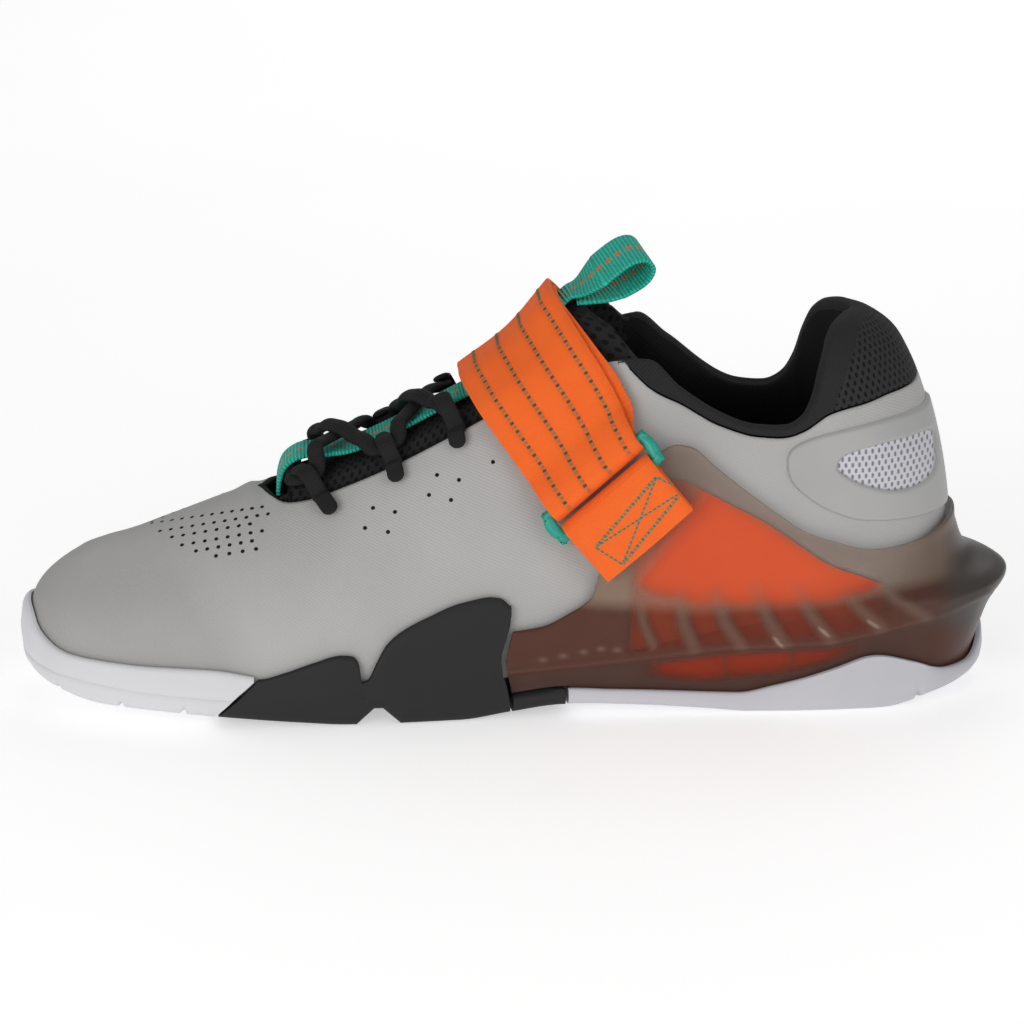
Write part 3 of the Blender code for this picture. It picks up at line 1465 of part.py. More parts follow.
def main():
    clear_scene()
    grey = material("shell", (0.60, 0.60, 0.58), 0.6)
    counter = material("counter", (0.56, 0.57, 0.56), 0.5)
    black = material("collar", (0.02, 0.02, 0.02), 0.8)
    tongue_black = material("tongue", (0.02, 0.02, 0.02), 0.8)
    white = material("white_rubber", (0.85, 0.85, 0.88), 0.45)
    wrap_black = material("black_rubber", (0.02, 0.02, 0.02), 0.5)
    smoke = material("smoked_shell", (0.16, 0.15, 0.13), 0.2, transmission=0.6)
    orange = material("orange_core", (0.85, 0.15, 0.04), 0.5)
    green = material("green_webbing", (0.02, 0.45, 0.33), 0.6)
    lining = material("insole", (0.05, 0.05, 0.05), 0.8)
    teal = material("ring", (0.01, 0.30, 0.24), 0.3)
    strap_orange = material("strap", (0.90, 0.13, 0.02), 0.6)
    lace_black = material("lace", (0.03, 0.03, 0.03), 0.8)
    upper = make_upper(grey)
    make_counter(counter)
    collar = make_collar(black)
    make_toe_sole(white)
    make_midfoot_wrap(wrap_black)
    make_arch_plate(wrap_black)
    make_heel_outsole(white)
    make_heel_core(orange)
    cage = make_heel_cage(smoke)
    for side in SIDES:
        make_web_panel(side, orange)
    make_insole(lining)
    tongue = make_tongue(tongue_black)
    webbing = make_webbing(green)
    bpy.context.view_layer.update()
    lace = make_lace(lace_black, [tree_of(tongue), tree_of(webbing)])
    bpy.context.view_layer.update()
    under_loops = [tree_of(o) for o in (upper, tongue, lace)]
    loops = [make_lace_loop(side, number, lace_black, under_loops) for side in SIDES for number in range(3)]
    bpy.context.view_layer.update()
    under_strap = [tree_of(o) for o in (upper, collar, cage, tongue, webbing, lace, *loops)]
    strap, below, angles = make_strap(strap_orange, under_strap)
    make_ring(teal, below, angles)


main()
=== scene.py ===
"""Looks of the right weightlifting shoe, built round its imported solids.

Metres, floor at z = 0. The toe points towards -X and the medial (inner) side is -Y, towards the
camera. The visible pieces come from the same last as the solids: a plan outline, a foot-bed
height and a wall that rises from the outline. A place along the shoe is a share of the upper's
length, 0 at the toe and 1 at the heel.
"""

import math

import bmesh
import bpy
import numpy as np
from mathutils import Matrix, Vector
from mathutils.bvhtree import BVHTree


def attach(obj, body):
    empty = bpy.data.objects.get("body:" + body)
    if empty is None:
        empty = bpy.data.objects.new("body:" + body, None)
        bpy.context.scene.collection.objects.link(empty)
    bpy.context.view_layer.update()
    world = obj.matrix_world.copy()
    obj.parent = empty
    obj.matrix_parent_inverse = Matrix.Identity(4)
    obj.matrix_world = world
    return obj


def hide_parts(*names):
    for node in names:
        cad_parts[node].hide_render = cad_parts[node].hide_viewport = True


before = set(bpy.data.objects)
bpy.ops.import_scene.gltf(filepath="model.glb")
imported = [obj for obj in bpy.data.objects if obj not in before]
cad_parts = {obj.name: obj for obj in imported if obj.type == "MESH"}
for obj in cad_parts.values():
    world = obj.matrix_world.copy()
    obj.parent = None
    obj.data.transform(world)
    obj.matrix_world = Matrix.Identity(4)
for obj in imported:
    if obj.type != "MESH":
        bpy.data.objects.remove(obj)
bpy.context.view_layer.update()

# Driving sizes of the last and the upper
UPPER_LENGTH = 0.277
HEEL_BACK = 0.0385  # from the origin to the back of the upper
BALL_WIDTH = 0.096
UPPER_HEIGHT = 0.086  # collar's back above the foot-bed
WALL = 0.0022
GAP = 0.0003

# Sole
HEEL_STACK = 0.030
FORE_STACK = 0.0085
TOE_SPRING = 0.012
ARCH_RISE = 0.0035
HEEL_BEVEL = 0.006
FOXING = 0.0026  # rubber wall round the forefoot
TREAD_DEPTH = 0.0014  # of a groove across the tread
GROOVE_WIDTH = 0.0020
FLEX_NOTCH_DEPTH = 0.0048
FLEX_NOTCH_WIDTH = 0.013
OUTSOLE_FLOOR = 0.0042  # heel outsole under the core
OUTSOLE_RIM = 0.0020
WRAP_TAIL = 0.0052  # midfoot wrap's thin end under the heel cage

# Heel cage, core and insole
CAGE_SKIN = 0.0022
CAGE_FOOT = 0.0026
FLARE = 0.0195  # how far the heel flare stands behind the upper
PANEL = 0.0008  # orange webbing panel under the cage
INSOLE = 0.0040
INSOLE_ROOM = 0.0009  # between the insole and the shell's inside

# Collar, tongue and webbing
COLLAR_PAD = 0.0050
ANKLE_PAD = 0.0060
TONGUE = 0.0024
TONGUE_PUFF = 0.0050
TONGUE_RISE = 0.0085  # more, at its free end
TONGUE_PEAK = 0.0160  # how far the free end's middle stands forward of its sides
WEBBING_WIDTH = 0.0160
WEBBING = 0.0013

# Laces, loops, strap and ring
LACE_WIDTH = 0.0046
LACE = 0.0023
LOOP_WIDTH = 0.0052
LOOP_LENGTH = 0.0088
LOOP = 0.0012
STRAP_WIDTH = 0.0380
STRAP = 0.0018
RING_BAR = 0.0030
RING_SLOT = 0.0060
RING_OVERHANG = 0.0024  # of the bar's middle beyond the strap's edge
COUNTER = 0.0008
COUNTER_LIFT = 0.0003
COUNTER_ROUND = 0.0012  # how far from its edges it is rounded
WINDOW_BELLY = 0.0005  # how far the window's mesh stands out

# Plan outline where upper meets sole: distance of each side from the heel's axis, in ball widths.
PLAN = (
    ("s", "medial", "lateral"),
    (0.000, 0.052, -0.052),
    (0.012, 0.198, 0.099),
    (0.040, 0.302, 0.224),
    (0.090, 0.370, 0.323),
    (0.150, 0.404, 0.406),
    (0.220, 0.424, 0.471),
    (0.290, 0.430, 0.510),
    (0.370, 0.425, 0.521),
    (0.460, 0.401, 0.500),
    (0.550, 0.367, 0.458),
    (0.640, 0.346, 0.417),
    (0.730, 0.340, 0.383),
    (0.820, 0.340, 0.360),
    (0.900, 0.323, 0.329),
    (0.955, 0.260, 0.258),
    (0.985, 0.161, 0.156),
    (1.000, 0.000, 0.000),
)

# Top of each wall column: its own place along the length, the middle between the two sides' tops
# and half the way between them in ball widths, and its height above the bed in upper heights.
# Handles shape the wall: rise and drop in column heights, bulge and reach in ball widths.
TOP = (
    ("s", "top_at", "middle", "half", "height", "rise", "bulge", "reach", "drop"),
    (0.000, 0.0596, -0.0520, 0.0000, 0.326, 0.62, 0.035, 0.110, 0.00),
    (0.040, 0.0757, -0.0500, 0.0000, 0.374, 0.60, 0.034, 0.150, 0.00),
    (0.090, 0.1084, -0.0470, 0.0000, 0.424, 0.58, 0.032, 0.190, 0.00),
    (0.150, 0.1554, -0.0420, 0.0000, 0.498, 0.56, 0.031, 0.222, 0.00),
    (0.220, 0.2200, -0.0340, 0.0000, 0.591, 0.55, 0.030, 0.235, 0.00),
    (0.247, 0.2470, -0.0310, 0.0000, 0.627, 0.55, 0.030, 0.235, 0.00),
    (0.260, 0.2600, -0.0315, 0.0935, 0.627, 0.485, 0.026, 0.188, 0.105),
    (0.275, 0.2750, -0.0310, 0.1510, 0.620, 0.455, 0.024, 0.161, 0.153),
    (0.300, 0.3000, -0.0310, 0.1770, 0.636, 0.445, 0.024, 0.147, 0.172),
    (0.345, 0.3450, -0.0315, 0.1875, 0.692, 0.450, 0.026, 0.138, 0.175),
    (0.392, 0.3920, -0.0290, 0.1900, 0.752, 0.450, 0.030, 0.128, 0.175),
    (0.464, 0.4640, -0.0210, 0.1980, 0.852, 0.440, 0.036, 0.112, 0.180),
    (0.514, 0.5140, -0.0180, 0.2060, 0.921, 0.43, 0.042, 0.095, 0.18),
    (0.572, 0.5720, -0.0105, 0.2185, 0.991, 0.40, 0.050, 0.082, 0.20),
    (0.625, 0.6250, -0.0025, 0.2425, 1.010, 0.38, 0.055, 0.072, 0.25),
    (0.666, 0.6660, 0.0000, 0.2660, 0.971, 0.36, 0.058, 0.062, 0.28),
    (0.700, 0.7000, 0.0000, 0.2810, 0.842, 0.35, 0.060, 0.055, 0.30),
    (0.738, 0.7380, 0.0000, 0.2920, 0.751, 0.34, 0.061, 0.052, 0.32),
    (0.780, 0.7800, 0.0000, 0.2970, 0.693, 0.34, 0.062, 0.052, 0.33),
    (0.810, 0.8100, 0.0000, 0.2970, 0.681, 0.34, 0.063, 0.052, 0.33),
    (0.835, 0.8285, 0.0000, 0.2920, 0.705, 0.34, 0.063, 0.054, 0.32),
    (0.860, 0.8412, 0.0000, 0.2810, 0.770, 0.34, 0.062, 0.058, 0.30),
    (0.885, 0.8503, 0.0000, 0.2660, 0.864, 0.34, 0.060, 0.068, 0.26),
    (0.910, 0.8610, 0.0000, 0.2340, 0.941, 0.34, 0.055, 0.085, 0.21),
    (0.935, 0.8772, 0.0000, 0.1880, 0.985, 0.34, 0.048, 0.110, 0.17),
    (0.960, 0.8954, 0.0000, 0.1250, 1.000, 0.34, 0.040, 0.138, 0.14),
    (0.985, 0.9099, 0.0000, 0.0620, 1.000, 0.35, 0.033, 0.160, 0.12),
    (1.000, 0.9152, 0.0000, 0.0000, 1.000, 0.35, 0.031, 0.167, 0.116),
)

# Where the grey shell ends behind the throat, above the bed in upper heights. The collar goes on.
EDGE = (
    ("s", "height"),
    (0.640, 0.990),
    (0.666, 0.895),
    (0.700, 0.815),
    (0.738, 0.722),
    (0.780, 0.657),
    (0.810, 0.642),
    (0.835, 0.654),
    (0.860, 0.677),
    (0.885, 0.703),
    (0.910, 0.717),
    (0.935, 0.729),
    (0.960, 0.745),
    (1.000, 0.762),
)
THROAT_FRONT = 0.247
COLLAR_FRONT = 0.663

# Sole along its length: toe spring, foot-bed lift, heel drop, arch and heel bevel, as shares of
# their sizes, and how far the sole stands outside the plan outline, in heel stacks.
SOLE = (
    ("s", "spring", "bed", "drop", "arch", "bevel", "out"),
    (0.000, 1.00, 0.71, 0.000, 0.0, 0.00, 0.090),
    (0.030, 0.72, 0.56, 0.000, 0.0, 0.00, 0.090),
    (0.070, 0.50, 0.44, 0.000, 0.0, 0.00, 0.090),
    (0.120, 0.40, 0.28, 0.000, 0.0, 0.00, 0.090),
    (0.200, 0.25, 0.12, 0.000, 0.0, 0.00, 0.090),
    (0.290, 0.08, 0.02, 0.000, 0.0, 0.00, 0.085),
    (0.345, 0.00, 0.00, 0.000, 0.0, 0.00, 0.085),
    (0.460, 0.00, 0.00, 0.093, 0.0, 0.00, 0.095),
    (0.514, 0.00, 0.00, 0.190, 0.5, 0.00, 0.110),
    (0.572, 0.00, 0.00, 0.340, 1.0, 0.00, 0.140),
    (0.640, 0.00, 0.00, 0.510, 0.8, 0.00, 0.165),
    (0.730, 0.00, 0.00, 0.745, 0.3, 0.00, 0.185),
    (0.776, 0.00, 0.00, 0.850, 0.0, 0.00, 0.190),
    (0.820, 0.00, 0.00, 0.907, 0.0, 0.00, 0.200),
    (0.918, 0.00, 0.00, 0.985, 0.0, 0.00, 0.235),
    (0.960, 0.00, 0.00, 1.000, 0.0, 0.55, 0.330),
    (1.000, 0.00, 0.00, 1.000, 0.0, 1.00, 0.430),
)

# Top edge of the white foxing above the bed, in heel stacks.
FOXING_TOP = (
    ("s", "height"),
    (0.000, 0.470),
    (0.006, 0.430),
    (0.016, 0.310),
    (0.050, 0.200),
    (0.110, 0.230),
    (0.200, 0.270),
    (0.247, 0.220),
)

# Top edge of the black midfoot wrap above the bed, in heel stacks: a low wing, a slit, a tall wing.
WRAP_TOP = (
    ("s", "height"),
    (0.200, 0.200),
    (0.247, 0.205),
    (0.273, 0.275),
    (0.305, 0.385),
    (0.334, 0.460),
    (0.346, 0.450),
    (0.353, 0.365),
    (0.356, 0.185),
    (0.362, 0.200),
    (0.371, 0.360),
    (0.382, 0.545),
    (0.400, 0.680),
    (0.428, 0.790),
    (0.460, 0.880),
    (0.485, 0.900),
    (0.503, 0.860),
    (0.512, 0.770),
)
WRAP_JOINT = (0.2020, 0.2480)  # where white meets black, at the floor and at the foxing's top
JOINT_TOP = 0.205  # of the joint above the bed, in heel stacks
JOINT_REACH = 0.10  # how far from the joint columns slant with it, in lengths
WRAP_BACK = 0.514
WRAP_BACK_HOLLOW = 0.011  # how far the wing's back edge is cut forward, in lengths
HOLLOW_REACH = 0.030  # how far from that edge columns follow it
HOLLOW_AT, HOLLOW_TALL = 0.61, 0.27  # its middle's height and its half height, in heel stacks
WRAP_END = 0.5735

# Heel cage, in heel stacks: its top edge above the bed, its crest and the outsole's edge above the
# floor. The crest's distance outside the upper is a share of the flare.
CAGE = (
    ("s", "top", "crest", "crest_out", "outsole"),
    (0.514, 0.500, 0.583, 0.175, 0.310),
    (0.548, 0.480, 0.620, 0.180, 0.305),
    (0.580, 0.560, 0.660, 0.185, 0.300),
    (0.600, 0.660, 0.680, 0.190, 0.290),
    (0.608, 0.900, 0.685, 0.190, 0.285),
    (0.614, 1.180, 0.690, 0.190, 0.280),
    (0.640, 1.640, 0.700, 0.195, 0.270),
    (0.665, 1.930, 0.715, 0.200, 0.260),
    (0.688, 2.000, 0.730, 0.205, 0.250),
    (0.708, 1.940, 0.745, 0.210, 0.240),
    (0.732, 1.720, 0.755, 0.215, 0.230),
    (0.762, 1.450, 0.765, 0.220, 0.220),
    (0.800, 1.150, 0.780, 0.225, 0.290),
    (0.830, 0.960, 0.790, 0.235, 0.360),
    (0.861, 0.840, 0.805, 0.255, 0.450),
    (0.905, 0.700, 0.930, 0.330, 0.575),
    (0.940, 0.680, 1.010, 0.470, 0.480),
    (0.968, 0.720, 1.060, 0.640, 0.350),
    (0.986, 0.780, 1.090, 0.830, 0.330),
    (1.000, 0.830, 1.100, 1.000, 0.540),
)

# Heel counter overlay, above the bed in upper heights.
COUNTER_EDGE = (
    ("s", "low", "high"),
    (0.812, 0.540, 0.575),
    (0.818, 0.495, 0.605),
    (0.835, 0.445, 0.625),
    (0.865, 0.385, 0.640),
    (0.905, 0.335, 0.655),
    (0.950, 0.315, 0.670),
    (1.000, 0.300, 0.680),
)
# Window in the counter: length along the heel and height above the bed, in upper heights.
WINDOW = (
    ("along", "height"),
    (0.005, 0.530),
    (0.035, 0.568),
    (0.130, 0.590),
    (0.250, 0.598),
    (0.355, 0.590),
    (0.375, 0.520),
    (0.365, 0.460),
    (0.300, 0.432),
    (0.200, 0.432),
    (0.100, 0.462),
    (0.030, 0.500),
)

MEDIAL, LATERAL = "medial", "lateral"
SIDES = (MEDIAL, LATERAL)


def turn(share):
    """The angle along the outline, 0 to 1, that spaces the round ends evenly."""
    return np.arccos(1 - 2 * np.clip(share, 0.0, 1.0)) / math.pi


def column_of(table, name, at):
    """A table's column at shares of the length, by a cubic that never overshoots its rows."""
    spot = table[0].index(name)
    known = turn(np.array([row[0] for row in table[1:]], float))
    value = np.array([row[spot] for row in table[1:]], float)
    step = np.diff(known)
    slope = np.diff(value) / step
    tangent = np.zeros(len(value))
    same = slope[1:] * slope[:-1] > 0
    weight_a = 2 * step[1:] + step[:-1]
    weight_b = step[1:] + 2 * step[:-1]
    safe = np.where(same, slope[1:] * slope[:-1], 1.0)
    mean = (weight_a + weight_b) * safe / (weight_a * slope[1:] + weight_b * slope[:-1] + (~same))
    tangent[1:-1] = np.where(same, mean, 0.0)
    tangent[0], tangent[-1] = slope[0], slope[-1]
    place = np.clip(turn(np.asarray(at, float)), known[0], known[-1])
    left = np.clip(np.searchsorted(known, place) - 1, 0, len(step) - 1)
    part = (place - known[left]) / step[left]
    rest = 1 - part
    return (
        value[left] * (1 + 2 * part) * rest**2
        + tangent[left] * step[left] * part * rest**2
        + value[left + 1] * (3 - 2 * part) * part**2
        - tangent[left + 1] * step[left] * rest * part**2
    )


def along(share):
    """X of a place along the upper."""
    return HEEL_BACK - UPPER_LENGTH * (1 - np.asarray(share, float))


def unit(vectors):
    """Rows of vectors, each at length 1."""
    return vectors / np.maximum(np.linalg.norm(vectors, axis=-1, keepdims=True), 1e-12)


def square_to(run, way):
    """For each direction of a path, the way nearest to a given one that is square to it."""
    return unit(way - (way * run).sum(1, keepdims=True) * run)


def lengths(points, axis=0):
    """How far each point is along a path, or along one axis of a grid."""
    steps = np.linalg.norm(np.diff(points, axis=axis), axis=-1)
    return np.insert(np.cumsum(steps, axis=axis), 0, 0.0, axis=axis)


def with_ends(rows):
    """Rows with one more at each end, straight on."""
    return np.concatenate([[2 * rows[0] - rows[1]], rows, [2 * rows[-1] - rows[-2]]])


def through(p0, p1, p2, p3, t):
    """A Catmull-Rom curve's place from p1 to p2."""
    return 0.5 * (2 * p1 + (p2 - p0) * t + (2 * p0 - 5 * p1 + 4 * p2 - p3) * t**2
                  + (3 * p1 - p0 - 3 * p2 + p3) * t**3)


def between(value, low, high):
    """0 below low, 1 above high; the other way round where low is the larger."""
    return np.clip((value - low) / (high - low), 0, 1)


def side_sign(side):
    return -1.0 if side == MEDIAL else 1.0


def bed(share):
    """Height of the foot-bed."""
    lift = column_of(SOLE, "bed", share) * TOE_SPRING
    return FORE_STACK + lift + column_of(SOLE, "drop", share) * (HEEL_STACK - FORE_STACK)


def tread(share):
    """Height of the sole's underside."""
    return (
        column_of(SOLE, "spring", share) * TOE_SPRING
        + column_of(SOLE, "arch", share) * ARCH_RISE
        + column_of(SOLE, "bevel", share) * HEEL_BEVEL
    )


def sole_out(share):
    return column_of(SOLE, "out", share) * HEEL_STACK


def outline(side, share):
    """Plan points of the outline and its outward normals."""
    share = np.atleast_1d(np.asarray(share, float))
    small = 1e-4
    place = turn(share)

    def at(value):
        value = np.clip(value, 0.0, 1.0)
        where = (1 - np.cos(math.pi * value)) / 2
        return along(where), side_sign(side) * BALL_WIDTH * column_of(PLAN, side, where)

    x, y = at(place)
    x_after, y_after = at(place + small)
    x_before, y_before = at(place - small)
    run = np.stack([x_after - x_before, y_after - y_before], -1)
    run[share <= 0] = (0.0, side_sign(side))
    run[share >= 1] = (0.0, -side_sign(side))
    run = unit(run)
    normal = np.stack([run[:, 1], -run[:, 0]], -1) * -side_sign(side)
    return np.stack([x, y], -1), normal


def wall_handles(side, share):
    """The four Bezier points of each wall column, from the outline up."""
    share = np.atleast_1d(np.asarray(share, float))
    plan, normal = outline(side, share)
    top_x = along(column_of(TOP, "top_at", share))
    half = side_sign(side) * column_of(TOP, "half", share)
    top_y = BALL_WIDTH * (column_of(TOP, "middle", share) + half)
    low = bed(share)
    tall = column_of(TOP, "height", share) * UPPER_HEIGHT
    near = np.clip(share + 0.004, 0, 1)
    before = np.clip(share - 0.004, 0, 1)

    def crown(where):
        climb = column_of(TOP, "height", where) * UPPER_HEIGHT
        return along(column_of(TOP, "top_at", where)), bed(where) + climb

    (x_near, z_near), (x_before, z_before) = crown(near), crown(before)
    crest_slope = (z_near - z_before) / np.maximum(x_near - x_before, 1e-6)
    crest_slope = np.where(share <= THROAT_FRONT, crest_slope, 0.0)
    rise = column_of(TOP, "rise", share)
    bulge = column_of(TOP, "bulge", share) * BALL_WIDTH
    reach = column_of(TOP, "reach", share) * BALL_WIDTH
    drop = column_of(TOP, "drop", share)
    foot = np.stack([plan[:, 0], plan[:, 1], low], -1)
    top = np.stack([top_x, top_y, low + tall], -1)
    first = foot + np.stack([normal[:, 0] * bulge, normal[:, 1] * bulge, rise * tall], -1)
    lean = normal[:, 0] * reach
    second = top + np.stack([lean, normal[:, 1] * reach, crest_slope * lean - drop * tall], -1)
    return np.stack([foot, first, second, top], 1)


def wall(side, share, up):
    """Wall points for each share and each up (0 at the outline, 1 at the top): shape (n, m, 3)."""
    four = wall_handles(side, share)
    up = np.asarray(up, float)
    if up.ndim == 1:
        up = np.repeat(up[None, :], len(four), 0)
    rest = 1 - up
    weights = np.stack([rest**3, 3 * rest**2 * up, 3 * rest * up**2, up**3], -1)
    return np.einsum("nmk,nkc->nmc", weights, four)


SAMPLES = np.linspace(0, 1, 41)


def skin(side, share, height, out=0.0):
    """Points on the upper's outer face at given heights, moved outwards; below it straight down."""
    share = np.atleast_1d(np.asarray(share, float))
    height = np.broadcast_to(np.asarray(height, float), share.shape)
    out = np.broadcast_to(np.asarray(out, float), share.shape)
    fine = wall(side, share, SAMPLES)
    normal = outline(side, share)[1]
    found = np.zeros((len(share), 3))
    for i, z in enumerate(height):
        column = fine[i]
        order = np.maximum.accumulate(column[:, 2])
        x = np.interp(z, order, column[:, 0])
        y = np.interp(z, order, column[:, 1])
        found[i] = (x + normal[i, 0] * out[i], y + normal[i, 1] * out[i], z)
    return found


def up_at_height(side, share, height):
    """How far up its column the wall reaches each height."""
    fine = wall(side, share, SAMPLES)
    return np.array([
        np.interp(z, np.maximum.accumulate(fine[i][:, 2]), SAMPLES) for i, z in enumerate(height)
    ])


def even_shares(count, start=0.0, end=1.0):
    """Shares spaced evenly along the outline's length between two places."""
    fine = np.linspace(turn(start), turn(end), 600)
    where = (1 - np.cos(math.pi * fine)) / 2
    run = lengths(outline(MEDIAL, where)[0])
    picked = np.interp(np.linspace(0, run[-1], count), run, where)
    picked[0], picked[-1] = start, end
    return picked


def smooth_path(points, count):
    """A Catmull-Rom curve through points, spaced evenly."""
    points = np.asarray(points, float)
    ends = with_ends(points)
    steps = np.linspace(0, 1, 24, endpoint=False)
    fine = [through(*ends[i - 1 : i + 3], t) for i in range(1, len(ends) - 2) for t in steps]
    fine = np.array([*fine, points[-1]])
    run = lengths(fine)
    spaced = np.linspace(0, run[-1], count)
    return np.stack([np.interp(spaced, run, fine[:, k]) for k in range(fine.shape[1])], -1)


def directions(path):
    return unit(np.gradient(path, axis=0))


def edge_up(side, share):
    """How far up each column the grey shell reaches."""
    height = bed(share) + column_of(EDGE, "height", share) * UPPER_HEIGHT
    reached = up_at_height(side, share, height)
    return np.where(share < EDGE[1][0], 1.0, reached)


def joint_shift(base, height):
    """How far forward the slanting joint of white and black moves a column at a height."""
    low_place, high_place = WRAP_JOINT
    top = bed(base) + JOINT_TOP * HEEL_STACK
    level = np.clip((height - tread(base)) / (top - tread(base)), 0, 1)
    near = np.clip(1 - np.abs(base - low_place) / JOINT_REACH, 0, 1) ** 2
    return (high_place - low_place) * level * near


def hollow_shift(base, height):
    """How far forward the tall wing's hollow back edge moves a column at a height."""
    near = np.clip(1 - np.abs(base - WRAP_BACK) / HOLLOW_REACH, 0, 1)
    depth = np.exp(-(((height / HEEL_STACK - HOLLOW_AT) / HOLLOW_TALL) ** 2))
    return WRAP_BACK_HOLLOW * depth * near


def outsole_edge(share):
    """Height of the white outsole's top edge round the heel."""
    return column_of(CAGE, "outsole", share) * HEEL_STACK


def core_top(share):
    return bed(share) - GAP


def heel_foot(share):
    """Height of the underside of core and cage: over the wrap's thin end, then over the outsole."""
    over_wrap = tread(share) + WRAP_TAIL + 2 * GAP
    return np.where(share < WRAP_END + 0.006, over_wrap, tread(share) + OUTSOLE_FLOOR + GAP)


def core_out(share):
    """How far the core's foot stands outside the plan outline."""
    return sole_out(share) - OUTSOLE_RIM - CAGE_FOOT - 3 * GAP


def core_top_out(share):
    return np.minimum(core_out(share), 0.0010 + 0.25 * core_out(share))


TONGUE_FRONT = 0.272
TONGUE_OPEN = 0.284  # from here on it stands up between the throat's edges
TONGUE_FREE = (0.52, 0.60)  # where its free end starts to rise, and where it stands full
TONGUE_LEAN = 0.56  # from here on its middle stands forward of its sides
TONGUE_END = 0.655
TONGUE_TUCK = 0.0015  # how far its front end lies below the shell's inside
TONGUE_NARROW = 0.0065  # half its width, at least
TONGUE_SIDE = 0.0036  # how far it swells on the lateral side, beside the webbing


def under_wall(side, shares, down, inside):
    """Points a way down from the wall's top edge and a depth inside it."""
    fine = wall(side, shares, SAMPLES)[:, ::-1]
    found = []
    for column in fine:
        run = lengths(column)
        spot = [np.interp(down, run, column[:, k]) for k in range(3)]
        ahead = [np.interp(down + 0.002, run, column[:, k]) for k in range(3)]
        dy, dz = ahead[1] - spot[1], ahead[2] - spot[2]
        size = math.hypot(dy, dz)
        inward = side_sign(side) * np.array([0.0, dz, -dy]) / size
        found.append(np.array(spot) + inward * inside)
    return np.array(found)


def tongue_rows(shares):
    """Points across the tongue at each share: tucked under the shell, up over the padded middle."""
    medial, lateral = (wall(side, shares, np.array([1.0]))[:, 0] for side in SIDES)
    middle = (medial + lateral) / 2
    free = between(shares, *TONGUE_FREE)
    back = between(shares, TONGUE_LEAN, TONGUE_END)
    open_part = between(shares, TONGUE_FRONT, TONGUE_OPEN)
    tuck = WALL + 2 * GAP + TONGUE_TUCK
    crown = middle[:, 2] + open_part * (TONGUE_PUFF + TONGUE_RISE * free) - (1 - open_part) * tuck

    def point(sign, part):
        edge = medial if sign < 0 else lateral
        wide = np.maximum(np.abs(edge[:, 1] - middle[:, 1]), TONGUE_NARROW)
        wide = wide * np.where(open_part < 0.99, 0.8, 1.0)
        x = edge[:, 0] - TONGUE_PEAK * back * (1 - part**2)
        if part > 0.9:
            side = MEDIAL if sign < 0 else LATERAL
            beside = (part - 0.965) / 0.035
            tucked = under_wall(side, shares, 0.0006 + 0.0042 * beside, WALL + 3 * GAP)
            y = np.where(open_part < 0.99, wide, np.abs(tucked[:, 1] - middle[:, 1]))
            z = np.where(open_part < 0.99, crown - 0.0016, tucked[:, 2])
        else:
            y = wide * part
            share_up = 0.35 + 0.65 * (1 - part**2.2)
            z = edge[:, 2] + (crown - edge[:, 2]) * share_up
            z = open_part * z + (1 - open_part) * (crown - 0.0012 * part)
        return np.stack([x, middle[:, 1] + sign * y, z], -1)

    parts = (1.0, 0.965, 0.76, 0.46)
    medial_half, lateral_half = ([point(sign, part) for part in parts] for sign in (-1, 1))
    return np.stack([*medial_half, point(-1, 0.0), *lateral_half[::-1]], 1)


def tongue_middle(share):
    return tongue_rows(np.array([share]))[0, 4]


# The webbing's front end under the first lace, in lace widths behind and over the tongue's middle
BAR_ROUTE = (
    ("behind", "over"),
    (-2.37, -1.52),
    (-2.28, -0.63),
    (-1.96, 0.28),
    (-1.33, 0.85),
    (-0.52, 1.12),
)
# From there up the tongue: place and lift over the tongue, in lace thicknesses
WEBBING_ROUTE = (
    ("s", "lift"),
    (0.328, 0.9),
    (0.355, 0.2),
    (0.400, 0.2),
    (0.450, 0.2),
    (0.500, 0.2),
    (0.550, 0.2),
    (0.590, 0.2),
    (0.622, 0.2),
)


LACE_PLACES = (0.309, 0.395, 0.463)  # of the three loops on each side
LACE_INSET = 0.0042  # how far inside the throat's edge the lace turns
LACE_STEP = 0.0012  # at least, between two points of its route


def lace_up():
    """Square to the instep's slope, in the middle of the laces."""
    low, high = tongue_middle(LACE_PLACES[0]), tongue_middle(LACE_PLACES[-1])
    run = high - low
    up = np.array([-run[2], 0.0, run[0]])
    return up / np.linalg.norm(up)


def hit_from_above(trees, point, up):
    """How far the highest surface stands above a point, square to the instep."""
    best = -0.05
    for tree in trees:
        spot = tree.ray_cast(Vector(point + up * 0.06), Vector(-up))[0]
        if spot is not None:
            best = max(best, float((np.array(spot) - point) @ up))
    return best


def throat_spot(side, place, inset):
    """A point of the throat's edge, moved towards the middle."""
    edge = wall(side, np.array([place]), np.array([1.0]))[0, 0]
    return np.array([edge[0], edge[1] - side_sign(side) * inset, edge[2]])


def taut(heights):
    """Lifts the middle heights of a row so that it is never hollow, as a tight lace."""
    heights = list(heights)
    changed = True
    while changed:
        changed = False
        for i in range(1, len(heights) - 1):
            straight = (heights[i - 1] + heights[i + 1]) / 2
            if heights[i] < straight - 1e-6:
                heights[i] = straight
                changed = True
    return np.array(heights)


